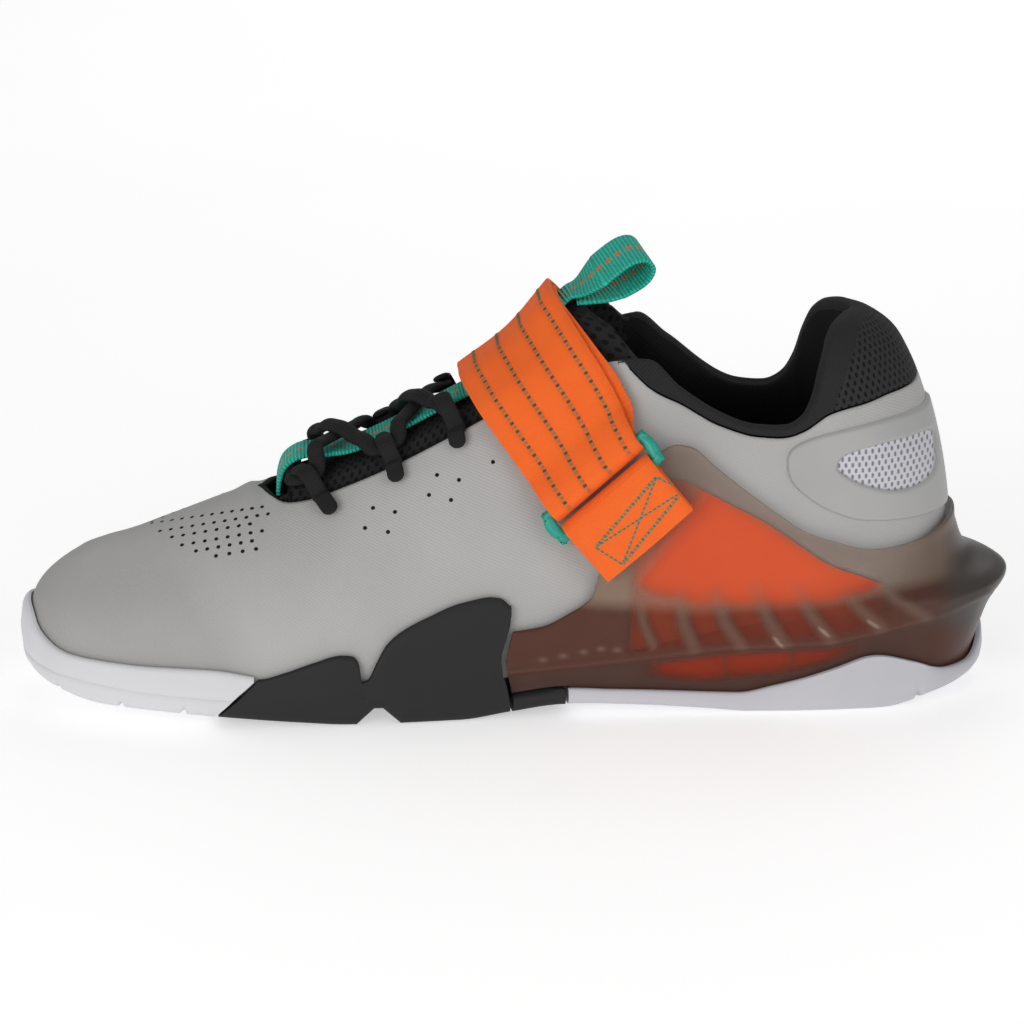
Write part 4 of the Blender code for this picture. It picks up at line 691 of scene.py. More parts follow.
def lace_run(trees, start, end, over, count=9):
    """One crossing from loop to loop over the tongue; the upper one steps over the lower one."""
    up = lace_up()
    along_run = (end - start) / np.linalg.norm(end - start)
    beside = np.cross(along_run, up)
    half = LACE_WIDTH / 2
    patch = [along_run * a * half + beside * b * half for a in (-1, 0, 1) for b in (-1, 0, 1)]
    parts = np.linspace(0, 1, count)
    base = [start + (end - start) * part for part in parts]
    heights = [max(hit_from_above(trees, point + step, up) for step in patch) for point in base]
    heights = taut(heights) + LACE / 2 + 2 * GAP
    if over:
        heights = heights + (LACE + 2 * GAP) * np.exp(-(((parts - 0.5) / 0.22) ** 4))
    return [point + up * height for point, height in zip(base, heights)]


STRAP_LEAN = math.radians(40)  # of the strap's width against the floor
STRAP_AXIS = (0.612, -0.030, 0.625)  # s, ball widths, upper heights above the bed
RING_ANGLE = 92.0  # degrees from the top of the instep, towards the medial side
TAB_ANGLE = 121.0  # where the tab ends, on the medial side
LATERAL_END = 119.0  # where the strap's lower layer ends, on the lateral side
FREE_END = 97.0  # where its upper layer ends there
STRAP_DRIFT = 0.0045  # how far the strap lies up its lean, at the top of the instep
STRAP_TAPER = 0.13  # of the width, from the instep to the ring
STRAP_LANES = (-0.5, 0.0, 0.5)
LANE_RAYS = 11  # across the strap's width, to feel what lies below


def strap_frame():
    share, side, up = STRAP_AXIS
    height = bed(np.array([share]))[0] + up * UPPER_HEIGHT
    axis = np.array([along(share), side * BALL_WIDTH, height])
    wide = np.array([math.cos(STRAP_LEAN), 0.0, math.sin(STRAP_LEAN)])
    top = np.array([-math.sin(STRAP_LEAN), 0.0, math.cos(STRAP_LEAN)])
    return axis, wide, top


def strap_way(angle, top):
    """Direction away from the strap's axis at an angle from the instep, lateral positive."""
    return top * math.cos(math.radians(angle)) + np.array([0.0, math.sin(math.radians(angle)), 0.0])


def hull_radius(angles, radii):
    """Radii of the tight band round points given by angle and radius."""
    ways = [(math.sin(math.radians(a)), math.cos(math.radians(a))) for a in angles]
    spots = [(r * x, r * y) for (x, y), r in zip(ways, radii)]
    keep = []
    for spot in spots:
        while len(keep) > 1:
            (ax, ay), (bx, by) = keep[-2:]
            if (bx - ax) * (spot[1] - ay) - (by - ay) * (spot[0] - ax) < 0:
                break
            keep.pop()
        keep.append(spot)
    found = []
    for way in ways:
        best = 0.0
        for (ax, ay), (bx, by) in zip(keep, keep[1:]):
            ex, ey = bx - ax, by - ay
            cross = way[0] * ey - way[1] * ex
            if abs(cross) < 1e-12:
                continue
            radius = (ax * ey - ay * ex) / cross
            reach = (way[0] * radius - ax) * ex + (way[1] * radius - ay) * ey
            part = reach / (ex * ex + ey * ey)
            if -1e-6 <= part <= 1 + 1e-6:
                best = max(best, radius)
        found.append(best)
    return np.array(found)


def strap_bed(trees, angles):
    """For every lane of the strap, the tight band over everything below it, angle by angle."""
    _, _, top = strap_frame()
    fine = np.linspace(STRAP_LANES[0] - 0.02, STRAP_LANES[-1] + 0.02, LANE_RAYS)
    radii = np.zeros((len(fine), len(angles)))
    for i, lane in enumerate(fine):
        for j, angle in enumerate(angles):
            way = strap_way(angle, top)
            middle = lane_middle(lane, angle)
            for tree in trees:
                spot = tree.ray_cast(Vector(middle + way * 0.12), Vector(-way), 0.12)[0]
                if spot is not None:
                    radii[i, j] = max(radii[i, j], float((np.array(spot) - middle) @ way))
    near = [np.abs(fine - lane) < 0.30 for lane in STRAP_LANES]
    found = np.array([hull_radius(angles, radii[pick].max(0)) for pick in near])
    flat = np.clip((24 - np.abs(np.asarray(angles) + RING_ANGLE)) / 10, 0, 1)
    straight = (found[0] + found[-1]) / 2
    found[1] = found[1] * (1 - flat) + straight * flat
    found += flat * np.maximum(hull_radius(angles, radii.max(0)) - straight, 0)
    return found


def lane_middle(lane, angle):
    """Middle of the strap's bend for a lane, at an angle."""
    axis, wide, _ = strap_frame()
    level = math.cos(math.radians(min(abs(angle), 90)))
    width = STRAP_WIDTH * (1 - STRAP_TAPER * (1 - level))
    return axis + wide * (lane * width + STRAP_DRIFT * level)


def over_bed(lane, radii, bed_angles, angle, over, sideways=0.0):
    """A point over the strap's bed, measured square to it and along it."""
    _, _, top = strap_frame()

    def flat(a):
        radius = np.interp(a, bed_angles, radii)
        return np.array([radius * math.sin(math.radians(a)), radius * math.cos(math.radians(a))])

    spot, run = flat(angle), flat(angle + 5) - flat(angle - 5)
    run /= np.linalg.norm(run)
    spot = spot + np.array([-run[1], run[0]]) * over + run * sideways
    return lane_middle(lane, angle) + top * spot[1] + np.array([0.0, spot[0], 0.0])


def band_grid(path, trees_bed, bed_angles):
    """Points of a band, one per lane: path rows are (angle, height over the bed, way along it)."""
    return np.array([
        [over_bed(lane, radii, bed_angles, *row) for lane, radii in zip(STRAP_LANES, trees_bed)]
        for row in path
    ])


UNDER = 4 * GAP + STRAP / 2  # the lower layer's middle above what it lies on
OVER = UNDER + STRAP + 2 * GAP
BAR_HEIGHT = UNDER + STRAP / 2 + GAP + RING_BAR / 2


def degrees_for(length, radius):
    return math.degrees(length / radius)


def folded(bar, step, toward):
    """Rows of a fold round a bar, then down over the lower layer. toward is the way to the slot."""
    turn_radius = RING_BAR / 2 + GAP + STRAP / 2
    rows = []
    for swing in np.linspace(-90, 90, 8):
        sideways = toward * turn_radius * math.cos(math.radians(swing))
        rows.append((bar, BAR_HEIGHT + turn_radius * math.sin(math.radians(swing)), sideways))
    fall = BAR_HEIGHT + turn_radius - OVER
    for way, part in ((0.8, 0.86), (1.7, 0.45), (2.8, 0.10)):
        rows.append((bar - toward * way * step, OVER + fall * part, 0.0))
    return rows


# Camera: the photograph's view, square, with one pixel of it this wide at the shoe's middle
IMAGE = 1024
PIXEL = 0.000303
DISTANCE = 1.2
ELEVATION, YAW = math.radians(17), math.radians(3)
TARGET = Vector((-0.0933, 0.0, 0.0526))
SENSOR = 36.0
BACK = Vector((
    -math.sin(YAW) * math.cos(ELEVATION), -math.cos(YAW) * math.cos(ELEVATION), math.sin(ELEVATION)
))
EYE = TARGET + BACK * DISTANCE


def make_camera():
    lens = SENSOR * DISTANCE / (PIXEL * IMAGE)
    camera = bpy.data.cameras.new("camera")
    camera.lens = lens
    camera.sensor_width = SENSOR
    camera.clip_end = 20
    made = bpy.data.objects.new("camera", camera)
    made.location = EYE
    made.rotation_euler = (-BACK).to_track_quat("-Z", "Y").to_euler()
    bpy.context.scene.collection.objects.link(made)
    bpy.context.scene.camera = made
    return made


def pixel_ray(px, py):
    """Direction from the eye through a place of the photograph."""
    right = Vector((math.cos(YAW), -math.sin(YAW), 0.0))
    up = BACK.cross(right)
    focus = DISTANCE / PIXEL
    way = -BACK + right * ((px - IMAGE / 2) / focus) + up * ((IMAGE / 2 - py) / focus)
    return way.normalized()


def photo_place(points):
    """Where points lie in the photograph, in its pixels; the lateral half by its mirror."""
    points = np.array(points, float)
    points[..., 1] = -np.abs(points[..., 1])
    right = np.array((math.cos(YAW), -math.sin(YAW), 0.0))
    back = np.array(BACK)
    up = np.cross(back, right)
    away = points - np.array(EYE)
    depth = -(away @ back)
    focus = DISTANCE / PIXEL
    return IMAGE / 2 + focus * (away @ right) / depth, IMAGE / 2 - focus * (away @ up) / depth


def line_gap(px, py, line):
    """Each place's distance in pixels to a chain of points, and its share of the way along it."""
    best = np.full(np.shape(px), 1e9)
    spot = np.zeros(np.shape(px))
    for number, ((x0, y0), (x1, y1)) in enumerate(zip(line, line[1:])):
        size = (x1 - x0) ** 2 + (y1 - y0) ** 2
        t = np.clip(((px - x0) * (x1 - x0) + (py - y0) * (y1 - y0)) / size, 0, 1)
        gap = np.hypot(px - x0 - t * (x1 - x0), py - y0 - t * (y1 - y0))
        spot = np.where(gap < best, number + t, spot)
        best = np.minimum(best, gap)
    return best, spot / (len(line) - 1)


def patch(px, py, row):
    """1 in the middle of a slanted oval of the photograph, 0 outside it; lean in degrees."""
    x, y, half_long, half_short, lean = row
    c, n = math.cos(math.radians(lean)), math.sin(math.radians(lean))
    u, v = (px - x) * c + (py - y) * n, (py - y) * c - (px - x) * n
    reach = np.sqrt((u / half_long) ** 2 + (v / half_short) ** 2)
    return between(reach, 1.15, 0.8)


def on_surface(tree, px, py, side="medial"):
    """Where a pixel's ray meets a piece, and the outward direction there; mirrored for lateral."""
    eye, way = EYE.copy(), pixel_ray(px, py)
    if side == "lateral":
        eye.y, way.y = -eye.y, -way.y
    spot, normal, _, _ = tree.ray_cast(eye, way)
    return spot, normal


# Mesh helpers

def rows_between(rows, count):
    """More rows through given ones, smoothly; rows is (n, m, 3), resampled along the first axis."""
    rows = np.asarray(rows, float)
    ends = with_ends(rows.reshape(len(rows), -1))
    place = np.linspace(0, len(rows) - 1, count)
    base = np.clip(np.floor(place).astype(int), 0, len(rows) - 2)
    found = through(*(ends[base + k] for k in range(4)), (place - base)[:, None])
    return found.reshape(count, *rows.shape[1:])


def make_mesh(name, points, faces, looks, face_look=None, uv=None, fields=None, sharp=None):
    """An object from points and faces. uv is per point, in metres; fields are numbers per point."""
    mesh = bpy.data.meshes.new(name)
    mesh.from_pydata([tuple(p) for p in np.asarray(points, float).reshape(-1, 3)], [], faces)
    for look in looks:
        mesh.materials.append(look)
    if face_look is not None:
        mesh.polygons.foreach_set("material_index", np.asarray(face_look, np.int32))
    if uv is not None:
        layer = mesh.uv_layers.new(name="cloth")
        corner = np.zeros(len(mesh.loops), np.int32)
        mesh.loops.foreach_get("vertex_index", corner)
        layer.data.foreach_set("uv", np.asarray(uv, np.float32).reshape(-1, 2)[corner].ravel())
    for key, values in (fields or {}).items():
        layer = mesh.attributes.new(key, "FLOAT", "POINT")
        layer.data.foreach_set("value", np.asarray(values, np.float32).ravel())
    mesh.shade_smooth()
    if sharp is not None:
        mesh.set_sharp_from_angle(angle=math.radians(sharp))
    made = bpy.data.objects.new(name, mesh)
    bpy.context.scene.collection.objects.link(made)
    return made


def grid_faces(rows, cols, wrap_rows=False, wrap_cols=False, first=0):
    faces = []
    for i in range(rows if wrap_rows else rows - 1):
        for j in range(cols if wrap_cols else cols - 1):
            a, b = first + i * cols, first + ((i + 1) % rows) * cols
            k = (j + 1) % cols
            faces.append((a + j, a + k, b + k, b + j))
    return faces


def finish_mesh(made, weld=2e-6):
    """Welds points that lie together and turns the faces outwards."""
    work = bmesh.new()
    work.from_mesh(made.data)
    bmesh.ops.remove_doubles(work, verts=work.verts, dist=weld)
    bmesh.ops.dissolve_degenerate(work, dist=1e-7, edges=work.edges)
    bmesh.ops.recalc_face_normals(work, faces=work.faces)
    work.to_mesh(made.data)
    work.free()
    return made


def bake_modifiers(made):
    """Turns an object's modifiers into its mesh."""
    bpy.context.view_layer.update()
    graph = bpy.context.evaluated_depsgraph_get()
    mesh = bpy.data.meshes.new_from_object(made.evaluated_get(graph))
    made.modifiers.clear()
    made.data = mesh
    return made


def tree_of(made):
    points = [v.co.copy() for v in made.data.vertices]
    return BVHTree.FromPolygons(points, [tuple(p.vertices) for p in made.data.polygons])


def place_on(made, slot_name, *nodes):
    """Hands a finished piece over to the frame."""
    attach(made, "root")
    if nodes:
        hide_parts(*nodes)
    return made


def lofted(name, rings, looks, uv=None, caps=(), face_look=None, wrap=False, fields=None,
           sharp=None):
    """A solid through closed rings of points; caps 0 and 1 close its first and last ring."""
    rings = np.asarray(rings, float)
    number, count = rings.shape[:2]
    faces = grid_faces(number, count, wrap_rows=wrap, wrap_cols=True)
    ends = [tuple(np.arange(count) + cap * (number - 1) * count) for cap in caps]
    made = make_mesh(name, rings, faces + ends, looks, None, uv, fields, sharp)
    if face_look is not None:
        face_look = np.append(face_look, np.zeros(len(ends))).astype(np.int32)
        made.data.polygons.foreach_set("material_index", face_look)
    return finish_mesh(made)


def closed_piece(name, rings, looks, slot_name, node, **more):
    """A loft with its end rings filled, handed over to the frame."""
    made = lofted(name, rings, looks, **more)
    close_ends(made)
    return place_on(made, slot_name, node)


def profile_rings(shares, rows):
    """Rings across both sides through rows of height and outward distance at each share."""
    return across(*(np.stack([skin(side, shares, z, o) for z, o in rows], 1) for side in SIDES))


def rings_round(path, wide, high, spread, rise):
    """Rings round a path from a section's points: spread along wide and rise along high."""
    return path[:, None] + wide[:, None] * spread[..., None] + high[:, None] * rise[..., None]


def soft_oval(count, half_wide, half_high, wide_power=1.0, high_power=1.0):
    """A section's points, spread and rise; a power below 1 makes the ellipse squarer."""
    angle = np.linspace(0, 2 * math.pi, count, endpoint=False)
    across_part, up_part = np.cos(angle), np.sin(angle)
    spread = np.sign(across_part) * np.abs(across_part) ** wide_power * half_wide
    return spread, np.sign(up_part) * np.abs(up_part) ** high_power * half_high


def cloth_places(length, wide):
    """Cloth coordinates of a grid: how far along and how far across, in metres."""
    return np.stack(np.broadcast_arrays(length[:, None], np.atleast_2d(wide)), -1)


def thickened(made, thickness, **settings):
    """Gives a surface its thickness, inwards."""
    modifier = made.modifiers.new("wall", "SOLIDIFY")
    for key, value in {"thickness": thickness, "offset": -1, **settings}.items():
        setattr(modifier, key, value)
    return bake_modifiers(made)


def face_outwards(made):
    """Turns a surface's faces away from the middle of the shoe."""
    centre = Vector((along(0.45), 0.0, float(bed(0.45)) + 0.25 * UPPER_HEIGHT))
    faces = made.data.polygons
    if sum(face.normal.dot(face.center - centre) * face.area for face in faces) < 0:
        made.data.flip_normals()


# Materials

def add(tree, kind, inputs=None, **settings):
    """A shader node with its settings, its inputs linked or set."""
    node = tree.nodes.new("ShaderNode" + kind)
    for key, value in settings.items():
        setattr(node, key, value)
    for key, value in (inputs or {}).items():
        if isinstance(value, bpy.types.NodeSocket):
            tree.links.new(value, node.inputs[key])
        else:
            node.inputs[key].default_value = value
    return node


def maths(tree, operation, *values):
    return add(tree, "Math", dict(enumerate(values)), operation=operation).outputs[0]


def new_look(name, colour, roughness, **sockets):
    made = bpy.data.materials.new(name)
    made.use_nodes = True
    tree = made.node_tree
    shader = tree.nodes["Principled BSDF"]
    shader.inputs["Base Color"].default_value = (*colour, 1.0)
    shader.inputs["Roughness"].default_value = roughness
    for key, value in sockets.items():
        shader.inputs[key.replace("_", " ")].default_value = value
    made.diffuse_color = (*colour, 1.0)
    return made, tree, shader


def cloth_uv(tree):
    return add(tree, "UVMap", uv_map="cloth").outputs["UV"]


def where(tree):
    return add(tree, "TexCoord").outputs["Object"]


def stripes(tree, place, way, pitch):
    """A wave from -1 to 1 along a direction of the place vector, one every pitch metres."""
    scale = 2 * math.pi / pitch
    size = math.sqrt(sum(w * w for w in way))
    step = tuple(w * scale / size for w in (*way, 0, 0)[:3])
    dot = add(tree, "VectorMath", {0: place, 1: step}, operation="DOT_PRODUCT").outputs["Value"]
    return maths(tree, "SINE", dot)


def woven(tree, place, slope, pitch):
    """A weave of two waves that slant both ways."""
    ways = ((1.0, slope), (1.0, -slope))
    return maths(tree, "MULTIPLY", *[stripes(tree, place, way, pitch) for way in ways])


def noise(tree, place, scale, detail=3.0, rough=0.55):
    inputs = {"Vector": place, "Scale": scale, "Detail": detail, "Roughness": rough}
    return add(tree, "TexNoise", inputs).outputs["Fac"]


def ramp(tree, value, low, high, start=0.0, end=1.0):
    """Maps a value from low..high to start..end, clamped."""
    return add(tree, "MapRange", {"Value": value, "From Min": low, "From Max": high,
                                  "To Min": start, "To Max": end}).outputs["Result"]


def blend_colour(tree, factor, first, second):
    node = add(tree, "Mix", data_type="RGBA")
    for number, value in ((0, factor), (6, first), (7, second)):
        socket = node.inputs[number]
        if isinstance(value, bpy.types.NodeSocket):
            tree.links.new(value, socket)
        else:
            socket.default_value = (*value, 1.0) if isinstance(value, tuple) else value
    return node.outputs[2]


def bump(tree, shader, height, depth, strength=1.0, before=None):
    inputs = {"Height": height, "Distance": depth, "Strength": strength}
    if before is not None:
        inputs["Normal"] = before
    node = add(tree, "Bump", inputs)
    tree.links.new(node.outputs["Normal"], shader.inputs["Normal"])
    return node.outputs["Normal"]


def field(tree, name):
    return add(tree, "Attribute", attribute_name=name).outputs["Fac"]


def colour_in(tree, shader, value):
    tree.links.new(value, shader.inputs["Base Color"])
    return value


RIB_PITCH = 0.00085


def knit_look():
    """Light grey coated knit with fine ribs that slant across the shoe."""
    made, tree, shader = new_look("grey_knit", (0.40, 0.395, 0.385), 0.7, Specular_IOR_Level=0.25)
    place = cloth_uv(tree)
    rib = stripes(tree, place, (0.62, 1.0), RIB_PITCH)
    cross = stripes(tree, place, (1.0, -0.42), RIB_PITCH * 1.5)
    rib, cross = maths(tree, "MULTIPLY", rib, 0.7), maths(tree, "MULTIPLY", cross, 0.3)
    weave = maths(tree, "ADD", rib, cross)
    patches = ramp(tree, noise(tree, where(tree), 26.0, 2.0), 0.3, 0.7)
    tone = blend_colour(tree, patches, (0.385, 0.380, 0.370), (0.425, 0.420, 0.410))
    tone = blend_colour(tree, ramp(tree, weave, -1, 1, 0.0, 0.09), tone, (0.26, 0.26, 0.26))
    toe = ramp(tree, field(tree, "toe"), 0, 1, 0.0, 0.36)
    tone = blend_colour(tree, toe, tone, (0.25, 0.245, 0.24))
    colour_in(tree, shader, tone)
    bump(tree, shader, weave, 0.00005, 0.5)
    return made


def lining_look():
    made, tree, shader = new_look("lining", (0.010, 0.010, 0.010), 0.9, Specular_IOR_Level=0.15)
    rib = stripes(tree, where(tree), (1, 0.4, 1), 0.0011)
    bump(tree, shader, rib, 0.00008, 0.4)
    return made


def lattice(tree, place, wide, tall):
    """Staggered spots, wide apart in a row and tall apart over two rows; highest in each spot."""
    size = 1 / math.hypot(1 / wide, 1 / tall)
    first = stripes(tree, place, (1 / wide, 1 / tall), size)
    second = stripes(tree, place, (1 / wide, -1 / tall), size)
    return maths(tree, "ADD", first, second)


def mesh_look(name, colour, hole, pitch, tall, roughness=0.8, depth=0.0003):
    """Air mesh: rows of small open holes between knitted bars."""
    made, tree, shader = new_look(name, colour, roughness, Specular_IOR_Level=0.2)
    place = cloth_uv(tree)
    open_part = ramp(tree, lattice(tree, place, pitch, tall), 0.55, 1.25)
    fine = stripes(tree, place, (0.3, 1.0), pitch * 0.22)
    colour_in(tree, shader, blend_colour(tree, open_part, colour, hole))
    height = maths(tree, "SUBTRACT", maths(tree, "MULTIPLY", fine, 0.12), open_part)
    bump(tree, shader, height, depth, 0.9)
    return made


def rubber_look(name, colour, roughness, grain=1100.0, depth=0.00003, specular=0.5):
    made, tree, shader = new_look(name, colour, roughness, Specular_IOR_Level=specular)
    speck = noise(tree, where(tree), grain, 2.0)
    tint = noise(tree, where(tree), 18.0, 3.0)
    darker = tuple(c * 0.93 for c in colour)
    colour_in(tree, shader, blend_colour(tree, ramp(tree, tint, 0.35, 0.65), colour, darker))
    bump(tree, shader, speck, depth, 0.5)
    return made


def smoke_look():
    """Smoked see-through shell: fields on its mesh say how much it hides, how dark it is, where
    grey painted shade lies and where it is paler, painted highlights among that.
    """
    made, tree, shader = new_look("smoked_shell", (0.23, 0.16, 0.11), 0.36, Specular_IOR_Level=0.16,
                                  Coat_Weight=0.03, Coat_Roughness=0.25)
    cloud = noise(tree, where(tree), 70.0, 2.0)
    tone = blend_colour(tree, field(tree, "dark"), (0.255, 0.180, 0.130), (0.078, 0.024, 0.014))
    # Grey painted shade, on the flare's top at the rear and under the crease.
    tone = blend_colour(tree, field(tree, "grey_shade"), tone, (0.050, 0.045, 0.040))
    # Paler ribs and slot lip, and painted highlights: glints, small spots and a line along the
    # crease.
    tone = blend_colour(tree, field(tree, "pale"), tone, (0.42, 0.32, 0.26))
    tone = blend_colour(tree, ramp(tree, cloud, 0.35, 0.7, 0.0, 0.16), tone, (0.11, 0.06, 0.045))
    colour_in(tree, shader, tone)
    tree.links.new(field(tree, "veil"), shader.inputs["Alpha"])
    bump(tree, shader, noise(tree, where(tree), 400.0, 2.0), 0.00002, 0.3)
    return made


def webbing_look(name, colour, thread, rib_pitch=0.0011):
    """Ribbed webbing; v runs across the band from -0.5 to 0.5, u along it in metres."""
    made, tree, shader = new_look(name, colour, 0.65, Specular_IOR_Level=0.3)
    place = cloth_uv(tree)
    rib = stripes(tree, place, (1.0, 0.0), rib_pitch)
    grain = noise(tree, where(tree), 900.0, 2.0)
    dark = tuple(c * 0.38 for c in colour)
    tone = blend_colour(tree, ramp(tree, rib, -1.0, 0.1, 0.8, 0.0), colour, dark)
    bright = tuple(min(1, c * 1.5) for c in colour)
    tone = blend_colour(tree, ramp(tree, grain, 0.4, 0.7, 0.0, 0.25), tone, bright)
    across = maths(tree, "ABSOLUTE", field(tree, "across"))
    dash = stripes(tree, place, (1.0, 0.0), 0.0034)
    middle, shown = ramp(tree, across, 0.058, 0.046), ramp(tree, dash, -0.45, -0.25)
    tone = blend_colour(tree, maths(tree, "MULTIPLY", middle, shown), tone, thread)
    colour_in(tree, shader, tone)
    bump(tree, shader, rib, 0.00024, 0.9)
    return made


def strap_look(name, lanes):
    """Neon orange strap, woven on a fine slant, pressed in along its lanes of stitches, with
    painted shade in those grooves.
    """
    made, tree, shader = new_look(name, (1.0, 0.155, 0.018), 0.7, Specular_IOR_Level=0.25)
    weave = woven(tree, cloth_uv(tree), 1.0, 0.00075)
    soil = noise(tree, where(tree), 70.0, 3.0)
    slant = ramp(tree, weave, -1, 1, 0, 0.35)
    tone = blend_colour(tree, slant, (1.0, 0.165, 0.020), (0.86, 0.115, 0.014))
    tone = blend_colour(tree, ramp(tree, soil, 0.35, 0.75, 0, 0.22), tone, (0.86, 0.09, 0.01))
    across = field(tree, "across")
    under = raised = None
    for lane in lanes:
        near = maths(tree, "ABSOLUTE", maths(tree, "SUBTRACT", across, lane))
        row = ramp(tree, near, 0.0, 0.045)
        raised = row if raised is None else maths(tree, "MULTIPLY", raised, row)
    if raised is not None:
        # Painted shade: darker orange in the pressed-in grooves along the stitch lanes.
        tone = blend_colour(tree, ramp(tree, raised, 0.0, 1.0, 0.25, 0.0), tone, (0.62, 0.07, 0.01))
        under = bump(tree, shader, raised, 0.00035, 0.9)
    colour_in(tree, shader, tone)
    bump(tree, shader, weave, 0.00013, 0.8, under)
    return made


def lace_look():
    made, tree, shader = new_look("black_lace", (0.012, 0.012, 0.012), 0.8, Specular_IOR_Level=0.2)
    weave = woven(tree, cloth_uv(tree), 0.9, 0.0012)
    tone = blend_colour(tree, ramp(tree, weave, -1, 1), (0.009,) * 3, (0.015, 0.015, 0.016))
    colour_in(tree, shader, tone)
    bump(tree, shader, weave, 0.00008, 0.6)
    return made


# Pieces

UPPER_COLUMNS = 230
UPPER_ROWS = 54


def mesh_shares(count, extra=()):
    """Evenly spaced shares of the length, and some more where a form needs them."""
    return np.array(sorted({*even_shares(count), *extra}))


FOLDS = ((0.300, 0.05, 0.00030), (0.345, 0.08, 0.00022), (0.405, 0.06, 0.00020))


def relief(shares, ups):
    """Small forms of the upper's wall, outwards in metres: shallow folds where the toe bends."""
    fold = np.zeros_like(ups)
    reach = between(ups, 0.15, 0.45), between(ups, 0.95, 0.75)
    for place, lean, deep in FOLDS:
        centre = place + lean * (ups - 0.5)
        fold -= deep * np.exp(-(((shares[:, None] - centre) / 0.010) ** 2)) * reach[0] * reach[1]
    return fold


def make_upper(knit, lining):
    near_throat = (0.247, 0.2475, 0.249, 0.252, 0.256, 0.260, 0.265, 0.270, 0.275, 0.285)
    shares = mesh_shares(UPPER_COLUMNS, near_throat)
    parts = []
    for side in SIDES:
        ups = edge_up(side, shares)[:, None] * np.linspace(0, 1, UPPER_ROWS)[None, :]
        grid = wall(side, shares, ups)
        normal = np.cross(np.gradient(grid, axis=0), np.gradient(grid, axis=1)) * -side_sign(side)
        grid = grid + unit(normal) * relief(shares, ups)[..., None]
        uv = cloth_places(shares * UPPER_LENGTH, lengths(grid, 1))
        parts.append((grid, uv * (1, -side_sign(side)), ups, shares[:, None] * np.ones_like(ups)))
    grid, uv, ups, place = (around(medial, lateral) for medial, lateral in zip(*parts))
    toe = np.clip((0.215 - place - 0.12 * (ups - 0.45)) / 0.05, 0, 1)
    toe = toe * between(ups, 0.80, 0.45)
    faces = grid_faces(*grid.shape[:2])
    made = make_mesh("upper_shell", grid, faces, [knit, lining], None, uv, {"toe": toe})
    finish_mesh(made)
    face_outwards(made)
    thickened(made, WALL, use_even_offset=False, material_offset=1, material_offset_rim=0)
    return place_on(made, "shell", "upper")


def across(medial, lateral):
    """Rings that go up one side and down the other."""
    return np.concatenate([medial, lateral[:, ::-1]], axis=1)


def around(medial, lateral):
    """Columns that go along the medial side and back along the lateral one."""
    return np.concatenate([medial, lateral[::-1][1:]], axis=0)


# Profile rows of the forefoot rubbers, from the underside's inner edge up the outside to the bed:
# level (None is the underside, else a share of the rim's height above the bed), lift over it, the
# face from which the outward distance is taken, and that distance.
TOE_ROWS = (
    (None, 0.0, "sole", -0.0150),
    (None, 0.0, "sole", -0.0034),
    (None, 0.0003, "sole", -0.0020),
    (None, 0.0010, "sole", -0.0009),
    (None, 0.0022, "sole", -0.0003),
    (0.0, -0.0030, "sole", 0.0001),
    (0.0, -0.0012, "sole", 0.0004),
    (0.0, -0.0008, "sole", 0.0001),
    (0.0, -0.0004, "sole", 0.0004),
    (0.2, 0.0, "between", 0.0004),
    (0.4, 0.0, "between", 0.0003),
    (0.8, 0.0, "foxing", 0.0),
    (0.93, 0.0, "foxing", -0.0003),
    (1.0, 0.0, "foxing", -0.0010),
    (1.0, -0.0002, "upper", 0.0),
    (0.72, 0.0, "upper", 0.0),
    (0.38, 0.0, "upper", 0.0),
    (0.0, -GAP, "upper", 0.0),
    (0.0, -GAP, "upper", -0.0046),
)
WRAP_ROWS = (
    (None, 0.0, "sole", -0.0150),
    (None, 0.0, "sole", -0.0034),
    (None, 0.0003, "sole", -0.0020),
    (None, 0.0011, "sole", -0.0008),
    (None, 0.0025, "sole", -0.0002),
    (0.0, -0.0020, "sole", 0.0003),
    (0.0, -0.0008, "sole", 0.0004),
    (0.10, 0.0, "foxing", 0.0008),
    (0.20, 0.0, "foxing", 0.0004),
    (0.35, 0.0, "foxing", 0.0002),
    (0.55, 0.0, "foxing", 0.0001),
    (0.75, 0.0, "foxing", 0.0),
    (0.88, 0.0, "foxing", 0.0),
    (0.96, 0.0, "foxing", -0.0003),
    (1.0, 0.0, "foxing", -0.0011),
    (1.0, -0.0003, "upper", 0.0),
    (0.70, 0.0, "upper", 0.0),
    (0.32, 0.0, "upper", 0.0),
    (0.0, -2 * GAP, "upper", 0.0),
    (0.0, -2 * GAP, "upper", -0.0046),
)
TOE_GROOVES = (0.035, 0.100, 0.165)
HEEL_GROOVE = 0.945
FLEX_NOTCH = 0.3735


def forefoot_rings(base, floor_z, rim, rows):
    """Rings of a forefoot rubber; the joint of white and black slants, the back edge is hollow."""
    out = sole_out(base)
    faces = {"sole": out, "between": (out + FOXING) / 2, "foxing": FOXING, "upper": 2 * GAP}

    def height(shares, level, lift):
        if level is None:
            return floor_z + lift
        return bed(shares) + level * column_of(rim, "height", shares) * HEEL_STACK + lift

    sides = []
    for side in SIDES:
        points = []
        for level, lift, face, outward in rows:
            z = height(base, level, lift)
            shares = base + joint_shift(base, z) - hollow_shift(base, z)
            z = height(shares, level, lift)
            points.append(skin(side, shares, z, faces[face] + outward))
        sides.append(np.stack(points, 1))
    return across(*sides)


def groove_places(place, width, steps):
    """Shares of the length at which a groove needs points, in half widths from its middle."""
    return [place + step * width / 2 / UPPER_LENGTH for step in steps]


